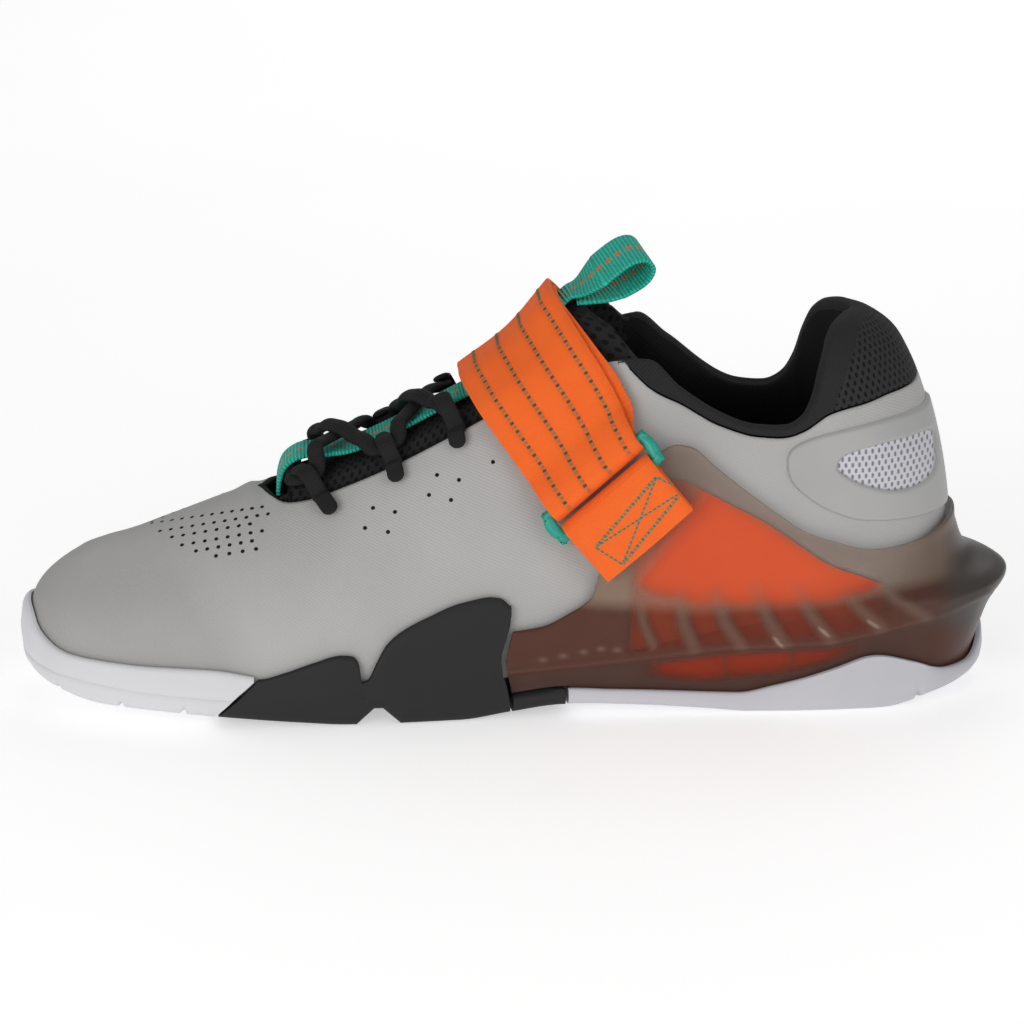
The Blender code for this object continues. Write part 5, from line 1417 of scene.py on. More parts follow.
def make_toe_sole(look):
    """White forefoot sole with its raised toe bumper."""
    steps = (-1.15, -0.85, -0.3, 0.3, 0.85, 1.15)
    base = mesh_shares(150, [spot for place in TOE_GROOVES
                             for spot in groove_places(place, GROOVE_WIDTH, steps)])
    end = WRAP_JOINT[0] - 3 * GAP / UPPER_LENGTH
    base = np.append(base[base <= end], end)
    floor_z = grooved(base, [(place, GROOVE_WIDTH, TREAD_DEPTH) for place in TOE_GROOVES])
    rings = forefoot_rings(base, floor_z, FOXING_TOP, TOE_ROWS)
    return closed_piece("toe_sole_rubber", rings, [look], "white_rubber", "toe_sole", sharp=50)


def close_ends(made):
    """Fills the open end rings of a loft."""
    work = bmesh.new()
    work.from_mesh(made.data)
    open_edges = [e for e in work.edges if e.is_boundary]
    if open_edges:
        bmesh.ops.triangle_fill(work, edges=open_edges, use_beauty=True)
    bmesh.ops.recalc_face_normals(work, faces=work.faces)
    work.to_mesh(made.data)
    work.free()
    return made


def grooved(shares, grooves):
    """The underside's height at each share, with grooves of (place, width, depth) cut across it."""
    low = tread(shares)
    for place, width, depth in grooves:
        reach = np.abs(along(shares) - along(place)) / (width / 2)
        low = low + depth * np.clip(1.25 * (1 - reach), 0, 1)
    return low


def make_midfoot_wrap(look):
    """Black forefoot rubber with a low wing and a tall wing up each side."""
    extra = groove_places(FLEX_NOTCH, FLEX_NOTCH_WIDTH, (-1.0, -0.8, -0.2, 0.2, 0.8, 1.0))
    extra += [row[0] for row in WRAP_TOP[2:]]
    extra += list(np.linspace(0.343, 0.385, 26))  # the slit between the wings
    base = mesh_shares(240, extra)
    base = base[(base >= WRAP_JOINT[0]) & (base <= WRAP_BACK)]
    base = np.concatenate([[WRAP_JOINT[0]], base, [WRAP_BACK]])
    base = base[np.concatenate([[True], np.diff(base) > 0.0002])]
    floor_z = grooved(base, [(FLEX_NOTCH, FLEX_NOTCH_WIDTH, FLEX_NOTCH_DEPTH)])
    rings = forefoot_rings(base, floor_z, WRAP_TOP, WRAP_ROWS)
    return closed_piece("midfoot_wrap_rubber", rings, [look], "black_rubber", "midfoot_wrap",
                        sharp=50)


def make_arch_plate(look):
    shares = np.linspace(WRAP_BACK + 3 * GAP / UPPER_LENGTH, WRAP_END, 24)
    low, out = tread(shares), sole_out(shares)
    rings = profile_rings(shares, (
        (low, out - 0.0150),
        (low, out - 0.0030),
        (low + 0.0006, out - 0.0012),
        (low + 0.0018, out - 0.0003),
        (low + WRAP_TAIL - 0.0012, out - 0.0004),
        (low + WRAP_TAIL, out - 0.0014),
        (low + WRAP_TAIL, out - 0.0080),
    ))
    return closed_piece("arch_plate_rubber", rings, [look], "black_rubber", "arch_plate", sharp=50)


HEEL_START = WRAP_END + 3 * GAP / UPPER_LENGTH
CORE_START = WRAP_BACK + 0.005
CAGE_START = WRAP_BACK + 4 * GAP / UPPER_LENGTH


def heel_shares(start, count, extra=(), apart=0.0004):
    """Shares from a start to the heel's end; the first is at least so far apart from the start."""
    found = mesh_shares(count, extra)
    found = found[found > start + apart]
    return np.concatenate([[start], found])


def make_heel_outsole(look):
    """White heel tread with a rim that peaks at each side and at the back."""
    extra = groove_places(HEEL_GROOVE, GROOVE_WIDTH, (-1.1, -0.8, -0.2, 0.2, 0.8, 1.1))
    shares = heel_shares(HEEL_START, 210, [0.577, 0.581, 0.861, *extra])
    out = sole_out(shares)
    low = grooved(shares, [(HEEL_GROOVE, GROOVE_WIDTH, TREAD_DEPTH)])
    rim = np.maximum(outsole_edge(shares), tread(shares) + OUTSOLE_FLOOR + 0.0006)
    well = tread(shares) + OUTSOLE_FLOOR
    inner = out - OUTSOLE_RIM
    rings = profile_rings(shares, (
        (low, out - 0.0150),
        (low, out - 0.0040),
        (low + 0.0003, out - 0.0024),
        (low + 0.0010, out - 0.0010),
        (low + 0.0020, out - 0.0004),
        ((low + rim) / 2 + 0.0004, out),
        (0.2 * low + 0.8 * rim, out - 0.0002),
        (rim - 0.0003, out - 0.0005),
        (rim, out - 0.0010),
        (rim - 0.0001, inner),
        (well, inner),
        (well, inner - 0.0060),
    ))
    return closed_piece("heel_outsole_rubber", rings, [look], "white_rubber", "heel_outsole",
                        sharp=50)


def make_heel_core(look):
    """Orange wedge under the heel, seen through the cage."""
    shares = heel_shares(CORE_START, 150, [0.577, 0.581])
    foot = np.minimum(heel_foot(shares), core_top(shares) - 0.0006)
    out, top_out = core_out(shares), core_top_out(shares)
    rows = [(foot, out - 0.0080)]
    for part in np.linspace(0, 1, 12):
        rows.append((foot + (core_top(shares) - foot) * part, out + (top_out - out) * part))
    rows.append((core_top(shares), top_out - 0.0100))
    rings = profile_rings(shares, rows)
    return closed_piece("heel_core_foam", rings, [look], "orange_core", "heel_core", sharp=50)


REAR_SPAN = 27  # columns over which the shell's flare is rounded
ROUNDED = (0.87, 0.90)  # where that starts, and where it is full
OUTER_ROWS = 72  # of points up the shell's outer face
CLOTH_FRONT, CLOTH_BACK = (0.596, 0.616), (0.935, 0.915)  # where the shell makes room for the cloth


def evened(values, span):
    """Rows of values, each smoothed over a span of columns."""
    weight = np.hanning(span + 2)[1:-1]
    weight /= weight.sum()
    wider = np.pad(values, ((0, 0), (span // 2, span // 2)), mode="reflect")
    return np.array([np.convolve(row, weight, "valid") for row in wider])


def make_heel_cage(look):
    """Smoked shell round the heel, with its crest, its flare and its open top."""
    base = heel_shares(CAGE_START, 560, [0.577, 0.581, *np.linspace(0.596, 0.625, 24)])
    floor, foot, core = bed(base), heel_foot(base), core_top(base)
    top = floor + column_of(CAGE, "top", base) * HEEL_STACK
    crest = np.minimum(column_of(CAGE, "crest", base) * HEEL_STACK, top - 0.004)
    low = np.maximum(np.minimum(outsole_edge(base), crest - 0.003), foot + 0.0014)
    crest_out = column_of(CAGE, "crest_out", base) * FLARE
    foot_out = sole_out(base) - OUTSOLE_RIM - 2 * GAP
    hug = 3 * GAP + (PANEL + 3 * GAP) * between(base, *CLOTH_FRONT) * between(base, *CLOTH_BACK)
    upper_out = hug + CAGE_SKIN
    inner_out = core_out(base) + 2 * GAP
    outer_rows = (
        (low, foot_out),
        (0.35 * low + 0.65 * crest - 0.0006, 0.45 * foot_out + 0.55 * crest_out - 0.0004),
        (crest, crest_out),
        (0.88 * crest + 0.12 * top + 0.0008, 0.86 * crest_out + 0.14 * upper_out),
        (0.62 * crest + 0.38 * top, 0.22 * crest_out + 0.78 * upper_out),
        (0.25 * crest + 0.75 * top, upper_out),
        (top - 0.0006, hug + 0.85 * CAGE_SKIN),
        (top, hug + 0.45 * CAGE_SKIN),
    )
    inner_rows = (
        (top - 0.0004, hug),
        (0.30 * floor + 0.70 * top, hug),
        (0.66 * floor + 0.34 * top, hug),
        (floor, np.maximum(core_top_out(base) + 2 * GAP, hug)),
        (0.5 * foot + 0.5 * core, (inner_out + core_top_out(base)) / 2 + 2 * GAP),
        (foot, inner_out),
    )
    foot_rows = ((foot, foot_out), ((foot + low) / 2, foot_out))
    foot_rows, outer_rows, inner_rows = (
        np.array(rows).transpose(0, 2, 1) for rows in (foot_rows, outer_rows, inner_rows)
    )
    outer_rows = rows_between(outer_rows, OUTER_ROWS)
    rows = np.concatenate([foot_rows, outer_rows, inner_rows])
    rear = between(base, *ROUNDED)
    heights, outs = (rows[..., k] + (evened(rows[..., k], REAR_SPAN) - rows[..., k]) * rear
                     for k in (0, 1))
    sides = []
    for side in SIDES:
        points = []
        for z, o in zip(heights, outs):
            shares = base - hollow_shift(base, z) * (base > WRAP_BACK)
            points.append(skin(side, shares, z, o))
        sides.append(np.stack(points, 1))
    rings = around(*sides)
    fields, raised = cage_fields(rings)
    face = slice(len(foot_rows) + 4, len(foot_rows) + 63)  # the outer face without its edges
    normal = unit(np.cross(np.gradient(rings, axis=0), np.gradient(rings, axis=1)))
    normal *= np.sign((normal[:, face] * (rings[:, face] - rings.mean((0, 1)))).sum())
    rings[:, face] += normal[:, face] * raised[:, face, None]
    fields["veil"][:, len(foot_rows) + OUTER_ROWS - 1 :] = 0.0  # the inner face hides nothing
    return closed_piece("heel_cage_shell", rings, [look], "smoked_shell", "heel_cage",
                        fields=fields, sharp=50)


# The shell seen in the photograph, in its pixels: ribs from their upper to their lower end
RIBS = (
    ("x0", "y0", "x1", "y1", "wide"),
    (640, 600, 653, 645, 6.0),
    (680, 598, 694, 648, 8.0),
    (716, 596, 742, 648, 8.0),
    (757, 588, 785, 646, 8.0),
    (797, 584, 830, 639, 8.0),
    (840, 581, 881, 628, 8.0),
    (878, 583, 928, 618, 7.0),
)
SMOKE_EDGE = ((500, 585), (600, 598), (640, 600), (700, 603), (830, 596), (900, 580), (990, 560))
LOWER_FOOT = ((640, 682), (700, 688), (786, 680), (830, 668), (870, 655))
CREASE = ((496, 674), (560, 667), (626, 660), (728, 648), (831, 643), (882, 631), (943, 614),
          (990, 592))
SLOT_LIP = ((707, 492), (690, 516), (662, 552), (637, 583))
WEB_EDGE = ((634, 582), (703, 489), (762, 522), (831, 566), (880, 580), (871, 590), (831, 602),
            (780, 606), (694, 604), (650, 592))
# Painted highlights: small pale spots, and glints as slanted ovals (x, y, half long, half short,
# lean).
DOTS = ((543, 660), (563, 656), (584, 652), (601, 649), (617, 650))
GLINTS = ((778, 642, 8, 1.4, 46), (824, 632, 8, 1.4, 42), (873, 624, 8, 1.4, 34))


def cage_fields(points):
    """How dark the shell is, where grey painted shade lies on it, where it is paler (its ribs, its
    slot's lip and painted highlights), how much it hides, and its relief in metres.
    """
    px, py = photo_place(points)
    crease_gap, _ = line_gap(px, py, CREASE)
    crease_y = np.interp(px, *zip(*CREASE))
    below = between(py - crease_y, 0, 6)
    low = between(py - np.interp(px, *zip(*SMOKE_EDGE)), 0, 14)
    rear = between(px, 900, 950)
    front = between(px, 636, 626)
    web_gap, _ = line_gap(px, py, WEB_EDGE + WEB_EDGE[:1])
    within = np.where(inside_chain(px, py, WEB_EDGE), 1, -1)
    web = np.clip(0.5 + within * web_gap / 10, 0, 1)
    nearest = np.full(np.shape(px), 1e9)
    rib = np.zeros_like(px)
    ridge = np.zeros_like(px)
    for x0, y0, x1, y1, wide in RIBS[1:]:
        bend = ((x0, y0), (0.55 * x0 + 0.45 * x1 - 3, 0.5 * (y0 + y1)), (x1, y1))
        gap, spot = line_gap(px, py, bend)
        gap = gap / (wide * 1.25)
        nearest = np.minimum(nearest, gap)
        rib = np.maximum(rib, np.clip(1 - gap, 0, 1) * (between(spot, 0, 0.35) * 0.75 + 0.25))
        ends = np.clip(spot * 3, 0, 1) * np.clip((1.02 - spot) * 6, 0, 1)
        ridge = np.maximum(ridge, np.exp(-(gap**2)) * ends)
    band = between(py, 598, 606) * between(crease_y - py, 3, 10)
    band = band * between(px, 622, 636) * between(px, 892, 870)
    pocket = band * between(nearest, 0.45, 1.0)
    foot_y = np.interp(px, *zip(*LOWER_FOOT))
    lower = between(py - crease_y, 4, 10) * between(foot_y - py, 4, 13)
    lower = lower * between(px, 642, 664) * between(px, 862, 836)
    split = np.minimum(np.abs(px - 726 - 0.10 * (py - 665)), np.abs(px - 790 + 0.2 * (py - 665)))
    lower = lower * (0.55 + 0.45 * np.clip(split / 6, 0, 1))
    pocket = np.maximum(pocket, 0.9 * lower)
    lip_gap, _ = line_gap(px, py, SLOT_LIP)
    lip = np.exp(-((lip_gap / 3.0) ** 2))
    # Painted highlights: a faint line along the crease, the small spots and the glints at the ribs'
    # ends.
    glint = np.exp(-((crease_gap / 1.6) ** 2)) * 0.05 * between(px, 950, 910)
    for x, y in DOTS:
        spot = np.exp(-(((px - x) / 4) ** 2 + ((py - y) / 2.6) ** 2))
        glint = np.maximum(glint, 0.20 * spot)
    for row in GLINTS:
        glint = np.maximum(glint, 0.55 * patch(px, py, row))
    # The lower part's smoke is darker in itself; a little painted shade darkens the shell just
    # under the crease.
    dark = np.clip(0.10 + 0.86 * low + 0.12 * below - 0.20 * rib * low * (1 - below), 0, 1)
    # Grey painted shade: on the flare's top at the rear, and under the crease elsewhere except the
    # pockets.
    grey_shade = rear * (0.45 + 0.55 * between(px, 940, 965)) * np.clip((640 - py) / 20, 0.25, 1)
    grey_shade = np.clip(grey_shade + 0.42 * below * (1 - rear) * (1 - lower), 0, 1)
    veil = 0.62 + 0.29 * low + front * (0.30 - 0.25 * low)
    fringe = between(py - 0.1 * (px - 640), 560, 590) * np.clip(1 - nearest / 1.3, 0, 1)
    web = web * (1 - 0.55 * fringe)
    veil = veil - 0.48 * web * (1 - low) - 0.60 * web * low
    veil = veil - (0.33 * pocket + 0.18 * lower) * low * (1 - web)
    veil = veil + 0.30 * rear + 0.3 * glint + 0.15 * lip
    # pale: paler ribs and slot lip, with the painted highlights on top.
    pale = np.clip(0.05 * rib * low + glint + 0.22 * lip, 0, 1)
    crease = np.exp(-((crease_gap / 2.5) ** 2))
    raised = 0.00032 * ridge * low + 0.0007 * lip + 0.00025 * crease
    return {"dark": dark, "grey_shade": grey_shade, "pale": pale, "veil": np.clip(veil, 0.08, 0.98)}, raised


def inside_chain(px, py, chain):
    """Whether each place lies inside a closed chain of points."""
    found = np.zeros(np.shape(px), bool)
    for (x0, y0), (x1, y1) in zip(chain, chain[1:] + chain[:1]):
        crosses = (y0 > py) != (y1 > py)
        reach = (x1 - x0) * (py - y0) / ((y1 - y0) if y1 != y0 else 1e-9) + x0
        found ^= crosses & (px < reach)
    return found


# The orange cloth behind the shell, above the bed in heel stacks; the shell hides its lower part.
WEB_SHAPE = (
    ("s", "low", "high"),
    (0.643, 0.02, 1.40),
    (0.655, 0.02, 1.66),
    (0.690, 0.02, 1.66),
    (0.720, 0.02, 1.50),
    (0.750, 0.02, 1.30),
    (0.785, 0.02, 1.08),
    (0.825, 0.02, 0.80),
    (0.860, 0.02, 0.56),
    (0.890, 0.02, 0.42),
    (0.915, 0.02, 0.30),
)


def make_web_panel(side, look):
    shares = np.linspace(WEB_SHAPE[1][0], WEB_SHAPE[-1][0], 90)
    low, high = column_of(WEB_SHAPE, "low", shares), column_of(WEB_SHAPE, "high", shares)
    foot = np.minimum(bed(shares) + HEEL_STACK * low, core_top(shares) + 0.0003)
    head = bed(shares) + HEEL_STACK * high
    levels = [foot + (head - foot) * part for part in np.linspace(0, 1, 22)]
    outer = [skin(side, shares, z, 3 * GAP + PANEL) for z in levels]
    inner = [skin(side, shares, z, 3 * GAP) for z in levels[::-1]]
    name = f"web_panel_{side}"
    rings = np.stack([*outer, *inner], 1)
    return closed_piece(f"{name}_cloth", rings, [look], "orange_core", name, sharp=50)


def make_insole(look):
    shares = even_shares(120, 0.004, 0.996)
    inset = WALL + INSOLE_ROOM
    low = bed(shares) + GAP
    rows = (
        (0.0, 0.0008),
        (0.3, 0.0001),
        (0.6, 0.0),
        (0.9, 0.0004),
        (1.0, 0.0012),
        (1.0, 0.0200),
    )
    sides = []
    for side in SIDES:
        normal = outline(side, shares)[1]
        foot = skin(side, shares, bed(shares), 0.0)
        points = []
        for level, more in rows:
            inside = np.minimum(inset + more, np.abs(foot[:, 1]) * 0.7 + 0.002)[:, None]
            flat = foot[:, :2] - normal * inside
            points.append(np.column_stack([flat, low + level * INSOLE]))
        sides.append(np.stack(points, 1))
    return closed_piece("insole_foam", across(*sides), [look], "insole", "insole", sharp=60)


def make_counter(look):
    """Smooth overlay round the heel, with an edge distance for its mesh window."""
    shares = heel_shares(COUNTER_EDGE[1][0], 640, apart=0.0)
    lift = COUNTER + COUNTER_LIFT
    low, high = column_of(COUNTER_EDGE, "low", shares), column_of(COUNTER_EDGE, "high", shares)
    origin = np.array((along(0.863), float(bed(0.9))))
    corners = [tuple(origin + np.array(row) * UPPER_HEIGHT) for row in WINDOW[1:]]
    closed = np.array([(x, 0.0, z) for x, z in [*corners, *corners[:3]]])
    border = smooth_path(closed, 300)
    start = int(len(border) * 1 / (len(closed) - 1))
    stop = int(len(border) * (len(corners) + 1) / (len(closed) - 1))
    border = [(p[0], p[2]) for p in border[start:stop]]
    sides, gaps = [], []
    for side in SIDES:
        rows, distances = [], []
        for k in np.linspace(0, 1, 60):
            edge = np.minimum(k, 1 - k) * (high - low) * UPPER_HEIGHT
            rim = np.minimum(edge, (shares - shares[0]) * UPPER_LENGTH)
            height = bed(shares) + UPPER_HEIGHT * (low + (high - low) * k)
            flat = skin(side, shares, height, 0.0)
            gap, _ = line_gap(flat[:, 0], flat[:, 2], border + border[:1])
            within = inside_chain(flat[:, 0], flat[:, 2], border)
            gap = np.where(within, -gap, gap)
            inward = np.clip(np.minimum(rim, np.maximum(gap, 0)) / COUNTER_ROUND, 0, 1)
            out = lift * np.sqrt(np.clip(1 - (1 - inward) ** 2, 0, 1)) + 0.00008
            belly = WINDOW_BELLY * np.clip(-gap / 0.004, 0, 1)
            rows.append(skin(side, shares, height, out + belly))
            distances.append(gap)
        sides.append(np.stack(rows, 1))
        gaps.append(np.stack(distances, 1))
    rings = around(*sides)
    faces = grid_faces(*rings.shape[:2])
    fields = {"gap": around(*gaps)}
    made = make_mesh("heel_counter_film", rings, faces, [look], None, rings[..., ::2], fields)
    finish_mesh(made)
    return place_on(made, "counter", "heel_counter")


def counter_look():
    """Smooth grey film; inside its window a pale lavender mesh with grey openings."""
    made, tree, shader = new_look("counter_film", (0.38, 0.375, 0.375), 0.5,
                                  Specular_IOR_Level=0.35)
    place = cloth_uv(tree)
    window = ramp(tree, field(tree, "gap"), 0.00010, -0.00010)
    holes = ramp(tree, lattice(tree, place, 0.00205, 0.00350), 0.55, 1.05)
    weave = blend_colour(tree, holes, (0.55, 0.54, 0.59), (0.20, 0.20, 0.21))
    ledge = ramp(tree, maths(tree, "ABSOLUTE", field(tree, "gap")), 0.0004, 0.0, 0.0, 0.35)
    tint = noise(tree, where(tree), 30.0, 2.0)
    tint = ramp(tree, tint, 0.3, 0.7)
    film = blend_colour(tree, tint, (0.385, 0.38, 0.375), (0.36, 0.355, 0.355))
    tone = blend_colour(tree, window, film, weave)
    tone = blend_colour(tree, ledge, tone, (0.25, 0.25, 0.25))
    colour_in(tree, shader, tone)
    grain = noise(tree, where(tree), 1500.0, 2.0)
    grain, hollow = maths(tree, "MULTIPLY", grain, 0.06), maths(tree, "MULTIPLY", holes, window)
    bump(tree, shader, maths(tree, "SUBTRACT", grain, hollow), 0.0003, 0.8)
    return made


SEAM = ((838, 397), (864, 319))  # the collar's coarse mesh starts behind this line of the photo
LINING_ROW = 34  # from this row of the collar's section on, it is lining
RIM_START, RIM_FULL = 0.632, 0.677  # where the collar's roll starts, thin, and where it is full
RIM_RISE = {MEDIAL: 0.0025, LATERAL: 0.0066}  # how much higher the soft rim is ahead of the ankle


def rim_rise(side, shares):
    return RIM_RISE[side] * np.exp(-(((shares - 0.70) / 0.05) ** 2))


def make_collar(look, cloth, inside):
    """Padded black collar that rolls over the ankle's edge."""
    shares = heel_shares(RIM_START, 300, apart=0.0)
    sides = []
    for side in SIDES:
        normal = outline(side, shares)[1]
        edge = bed(shares) + column_of(EDGE, "height", shares) * UPPER_HEIGHT
        top = wall(side, shares, np.array([1.0]))[:, 0]
        top[:, 2] += rim_rise(side, shares)
        tall = np.maximum(top[:, 2] - edge, 0.0006)
        fore = 0.3 + 0.7 * between(shares, RIM_START, RIM_FULL)
        pad = COLLAR_PAD * fore + ANKLE_PAD * between(shares, 0.84, 0.96)
        low = bed(shares) + INSOLE + 0.10 * UPPER_HEIGHT
        zero = np.zeros_like(pad)
        lining = zero - 1.35 * WALL - 2 * GAP
        outer = (
            (edge + 2 * GAP, zero),
            (edge + 0.35 * tall + GAP, zero),
            (edge + 0.70 * tall, zero),
            (top[:, 2] - 0.10 * pad, -0.16 * pad),
            (top[:, 2], -0.45 * pad),
            (top[:, 2] - 0.18 * pad, -0.85 * pad),
            (edge + 0.45 * tall, -1.12 * pad - 0.0012),
            (edge - 0.05 * UPPER_HEIGHT, -1.0 * pad - WALL),
            (edge - 0.22 * UPPER_HEIGHT, -0.45 * pad - 1.4 * WALL),
            (low, lining - 0.0012),
        )
        under = [(z, lining) for z in
                 (low, edge - 0.22 * UPPER_HEIGHT, edge - 0.0030, edge + 2 * GAP)]
        fine = rows_between(np.array(outer).transpose(0, 2, 1), 60)
        rings = []
        for z, o in [*fine.transpose(0, 2, 1), *under]:
            place = skin(side, shares, z)
            place[:, :2] += normal * o[:, None]
            rings.append(place)
        sides.append(np.stack(rings, 1))
    rings = around(*sides)
    px, py = photo_place(rings[:-1])
    (x0, y0), (x1, y1) = SEAM
    behind_seam = px > x0 + (y0 - py) * (x1 - x0) / (y0 - y1)
    face_look = np.where(behind_seam, 0, 1)
    face_look[:, LINING_ROW:] = 2
    made = closed_piece("collar_padding", rings, [look, cloth, inside], "collar", "collar",
                        uv=cloth_places(lengths(rings[:, 3]), lengths(rings, 1)),
                        face_look=face_look.ravel(), sharp=60)
    return made


GUSSET = 0.0012
GUSSET_START = (0.612, 0.630)  # where it starts on the tongue and on the rim
GUSSET_SAG = 0.0022


def make_gusset(look):
    """Black knit that joins the tongue's sides to the collar's front ends."""
    count = 30
    for side in SIDES:
        tongue = tongue_rows(np.linspace(GUSSET_START[0], TONGUE_END, count))
        tongue_side = tongue[:, 2 if side == MEDIAL else 6]
        shares = np.linspace(GUSSET_START[1], COLLAR_FRONT + 0.026, count)
        rim = wall(side, shares, np.array([1.0]))[:, 0]
        rim[:, 2] += rim_rise(side, shares)
        inward = -side_sign(side) * np.array([0.0, 1.0, 0.0])
        rim = rim + inward * 0.0022 - np.array([0.0, 0.0, 0.0016])
        parts = np.linspace(0, 1, 9)
        sag = np.array([0, 0, GUSSET_SAG])
        grid = np.stack([tongue_side * (1 - part) + rim * part - sag * math.sin(math.pi * part)
                         for part in parts], 1)
        grid[:, 0] -= np.array([0.0, 0.0, 0.0012])
        made = make_mesh(f"collar_gusset_{side}", grid, grid_faces(count, len(parts)), [look])
        finish_mesh(made)
        if sum(face.normal.z for face in made.data.polygons) < 0:
            made.data.flip_normals()
        thickened(made, GUSSET)
        place_on(made, "collar")


BINDING = (0.0011, 0.0008)  # half width and half thickness of the black edge round the throat
BINDING_END = 0.60  # it ends under the strap


def make_binding(look):
    """Black edge tape that runs just inside the throat's edge, from strap to toe and back."""
    halves = []
    for side in SIDES:
        shares = np.linspace(THROAT_FRONT + 0.0005, BINDING_END, 120)
        edge = wall(side, shares, np.array([1.0]))[:, 0]
        under = np.array(under_wall(side, shares, 0.0008, BINDING[1] + 0.0001))
        halves.append(0.45 * edge + 0.55 * under)
    path = np.concatenate([halves[0][::-1], halves[1]])
    keep = [0] + [k for k in range(1, len(path)) if np.linalg.norm(path[k] - path[k - 1]) > 0.0003]
    path = smooth_path(path[keep], 420)
    run = directions(path)
    inside = np.array((path[:, 0].mean(), 0.0, 0.0)) - path
    inside[:, 2] = 0
    inside[:, 0] = np.where(path[:, 0] < path[:, 0].min() + 0.004, 0.01, 0)
    inside = square_to(run, inside)
    centre = path + inside * BINDING[0] * 0.8
    rings = rings_round(centre, inside, np.cross(run, inside), *soft_oval(12, *BINDING))
    made = lofted("throat_binding", rings, [look], caps=(0, 1), sharp=60)
    return place_on(made, "tongue")


def make_tongue(look):
    shares = np.concatenate([[0.2475, 0.260], np.linspace(TONGUE_FRONT, TONGUE_END, 150)])
    cross = rows_between(tongue_rows(shares).transpose(1, 0, 2), 41).transpose(1, 0, 2)
    lateral_part = np.linspace(-1, 1, 41)
    under_laces = between(shares, 0.285, 0.315) * between(shares, 0.60, 0.55)
    swelling = np.exp(-(((lateral_part - 0.72) / 0.16) ** 2))
    cross[..., 2] += TONGUE_SIDE * under_laces[:, None] * swelling[None]
    uv = cloth_places(lengths(cross[:, 20]), lengths(cross, 1))
    made = make_mesh("tongue_padding", cross, grid_faces(*cross.shape[:2]), [look], None, uv)
    finish_mesh(made)
    face_outwards(made)
    thickened(made, TONGUE)
    place_on(made, "tongue", "tongue")
    return made


def flat_band(name, path, wide, width, thickness, looks, slot_name, nodes, count=7, edge=0.35):
    """A band along a path with rounded edges; a field says how far across it each point is."""
    run = directions(path)
    wide = square_to(run, wide)
    half, thick = width / 2, thickness / 2
    soft = edge * thickness
    face = [(part * (half - soft), thick) for part in np.linspace(-1, 1, count)]
    rim = [(half - 0.25 * soft, 0.72 * thick), (half, 0.0), (half - 0.25 * soft, -0.72 * thick)]
    shape = np.array(face + rim)
    shape = np.concatenate([shape, -shape])
    rings = rings_round(path, wide, np.cross(run, wide), shape[:, 0], shape[:, 1])
    side = np.repeat(shape[None, :, 0] / width, len(path), 0)
    uv = cloth_places(lengths(path), shape[:, 0])
    made = lofted(name, rings, looks, uv=uv, caps=(0, 1), fields={"across": side}, sharp=60)
    return place_on(made, slot_name, *nodes)


# The pull loop: how far its outer edge leans towards the toe, and its route from the tongue's end
# on, in webbing widths behind and over it
LOOP_TWIST = math.radians(22)
LOOP_SHOWN = (
    ("behind", "over"),
    (0.02, 0.26),
    (0.40, 0.62),
    (0.79, 0.90),
    (1.08, 0.94),
    (1.25, 0.74),
    (1.15, 0.49),
    (0.86, 0.30),
    (0.50, 0.16),
    (0.18, 0.09),
    (-0.08, 0.03),
)


def make_webbing(look):
    place = tongue_middle(LACE_PLACES[0])
    route = [(place[0] + behind * LACE_WIDTH, place[1], place[2] + over * LACE_WIDTH)
             for behind, over in BAR_ROUTE[1:]]
    for share, lift in WEBBING_ROUTE[1:]:
        middle = tongue_middle(share)
        route.append((middle[0], middle[1], middle[2] + GAP + WEBBING / 2 + 0.0006 + lift * LACE))
    end = tongue_middle(TONGUE_END)
    for behind, over in LOOP_SHOWN[1:]:
        route.append((end[0] + behind * WEBBING_WIDTH, end[1], end[2] + over * WEBBING_WIDTH))
    path = smooth_path(route, 420)
    wide = np.tile((0.0, 1.0, 0.0), (len(path), 1))
    base, tip = np.array(end), path[np.argmax(path[:, 2])]
    axis = Vector(tip - base).normalized()
    past = np.clip((path - base) @ np.array(axis) / 0.010, 0, 1)
    started = np.cumsum(past > 0) > 0
    for number in np.nonzero(started)[0]:
        turned = Matrix.Rotation(LOOP_TWIST * past[number], 3, axis)
        path[number] = base + np.array(turned @ Vector(path[number] - base))
        wide[number] = np.array(turned @ Vector(wide[number]))
    return flat_band("tongue_webbing_band", path, wide, WEBBING_WIDTH, WEBBING, [look],
                     "green_webbing", ["tongue_webbing"], 11)


def lace_path(trees):
    """The lace's middle: from the lateral top to the toe, across, and up again over itself."""
    medial, lateral = ([throat_spot(side, place, LACE_INSET) for place in LACE_PLACES]
                       for side in SIDES)
    ahead = np.cross((0.0, 1.0, 0.0), lace_up()) * LACE_WIDTH * 0.75
    route = []
    runs = (
        (trees, lateral[2], medial[1] + ahead, False),
        (trees, medial[1] - ahead, lateral[0] + ahead, True),
        (trees[:1], lateral[0] - ahead, medial[0] - ahead, False),
        (trees, medial[0] + ahead, lateral[1] - ahead, False),
        (trees, lateral[1] + ahead, medial[2], True),
    )
    for run_trees, start, end, over in runs:
        route.extend(lace_run(run_trees, start, end, over))
    cleaned = [route[0]]
    for point in route[1:]:
        if np.linalg.norm(point - cleaned[-1]) > LACE_STEP:
            cleaned.append(point)
    return np.array(cleaned)


LACE_SHOWN = (0.0052, 0.0031)  # the visible cord's width and thickness
LACE_RISE = 0.0004  # how much higher it lies than the solid
LACE_ROUND = 0.0132  # the way once round it


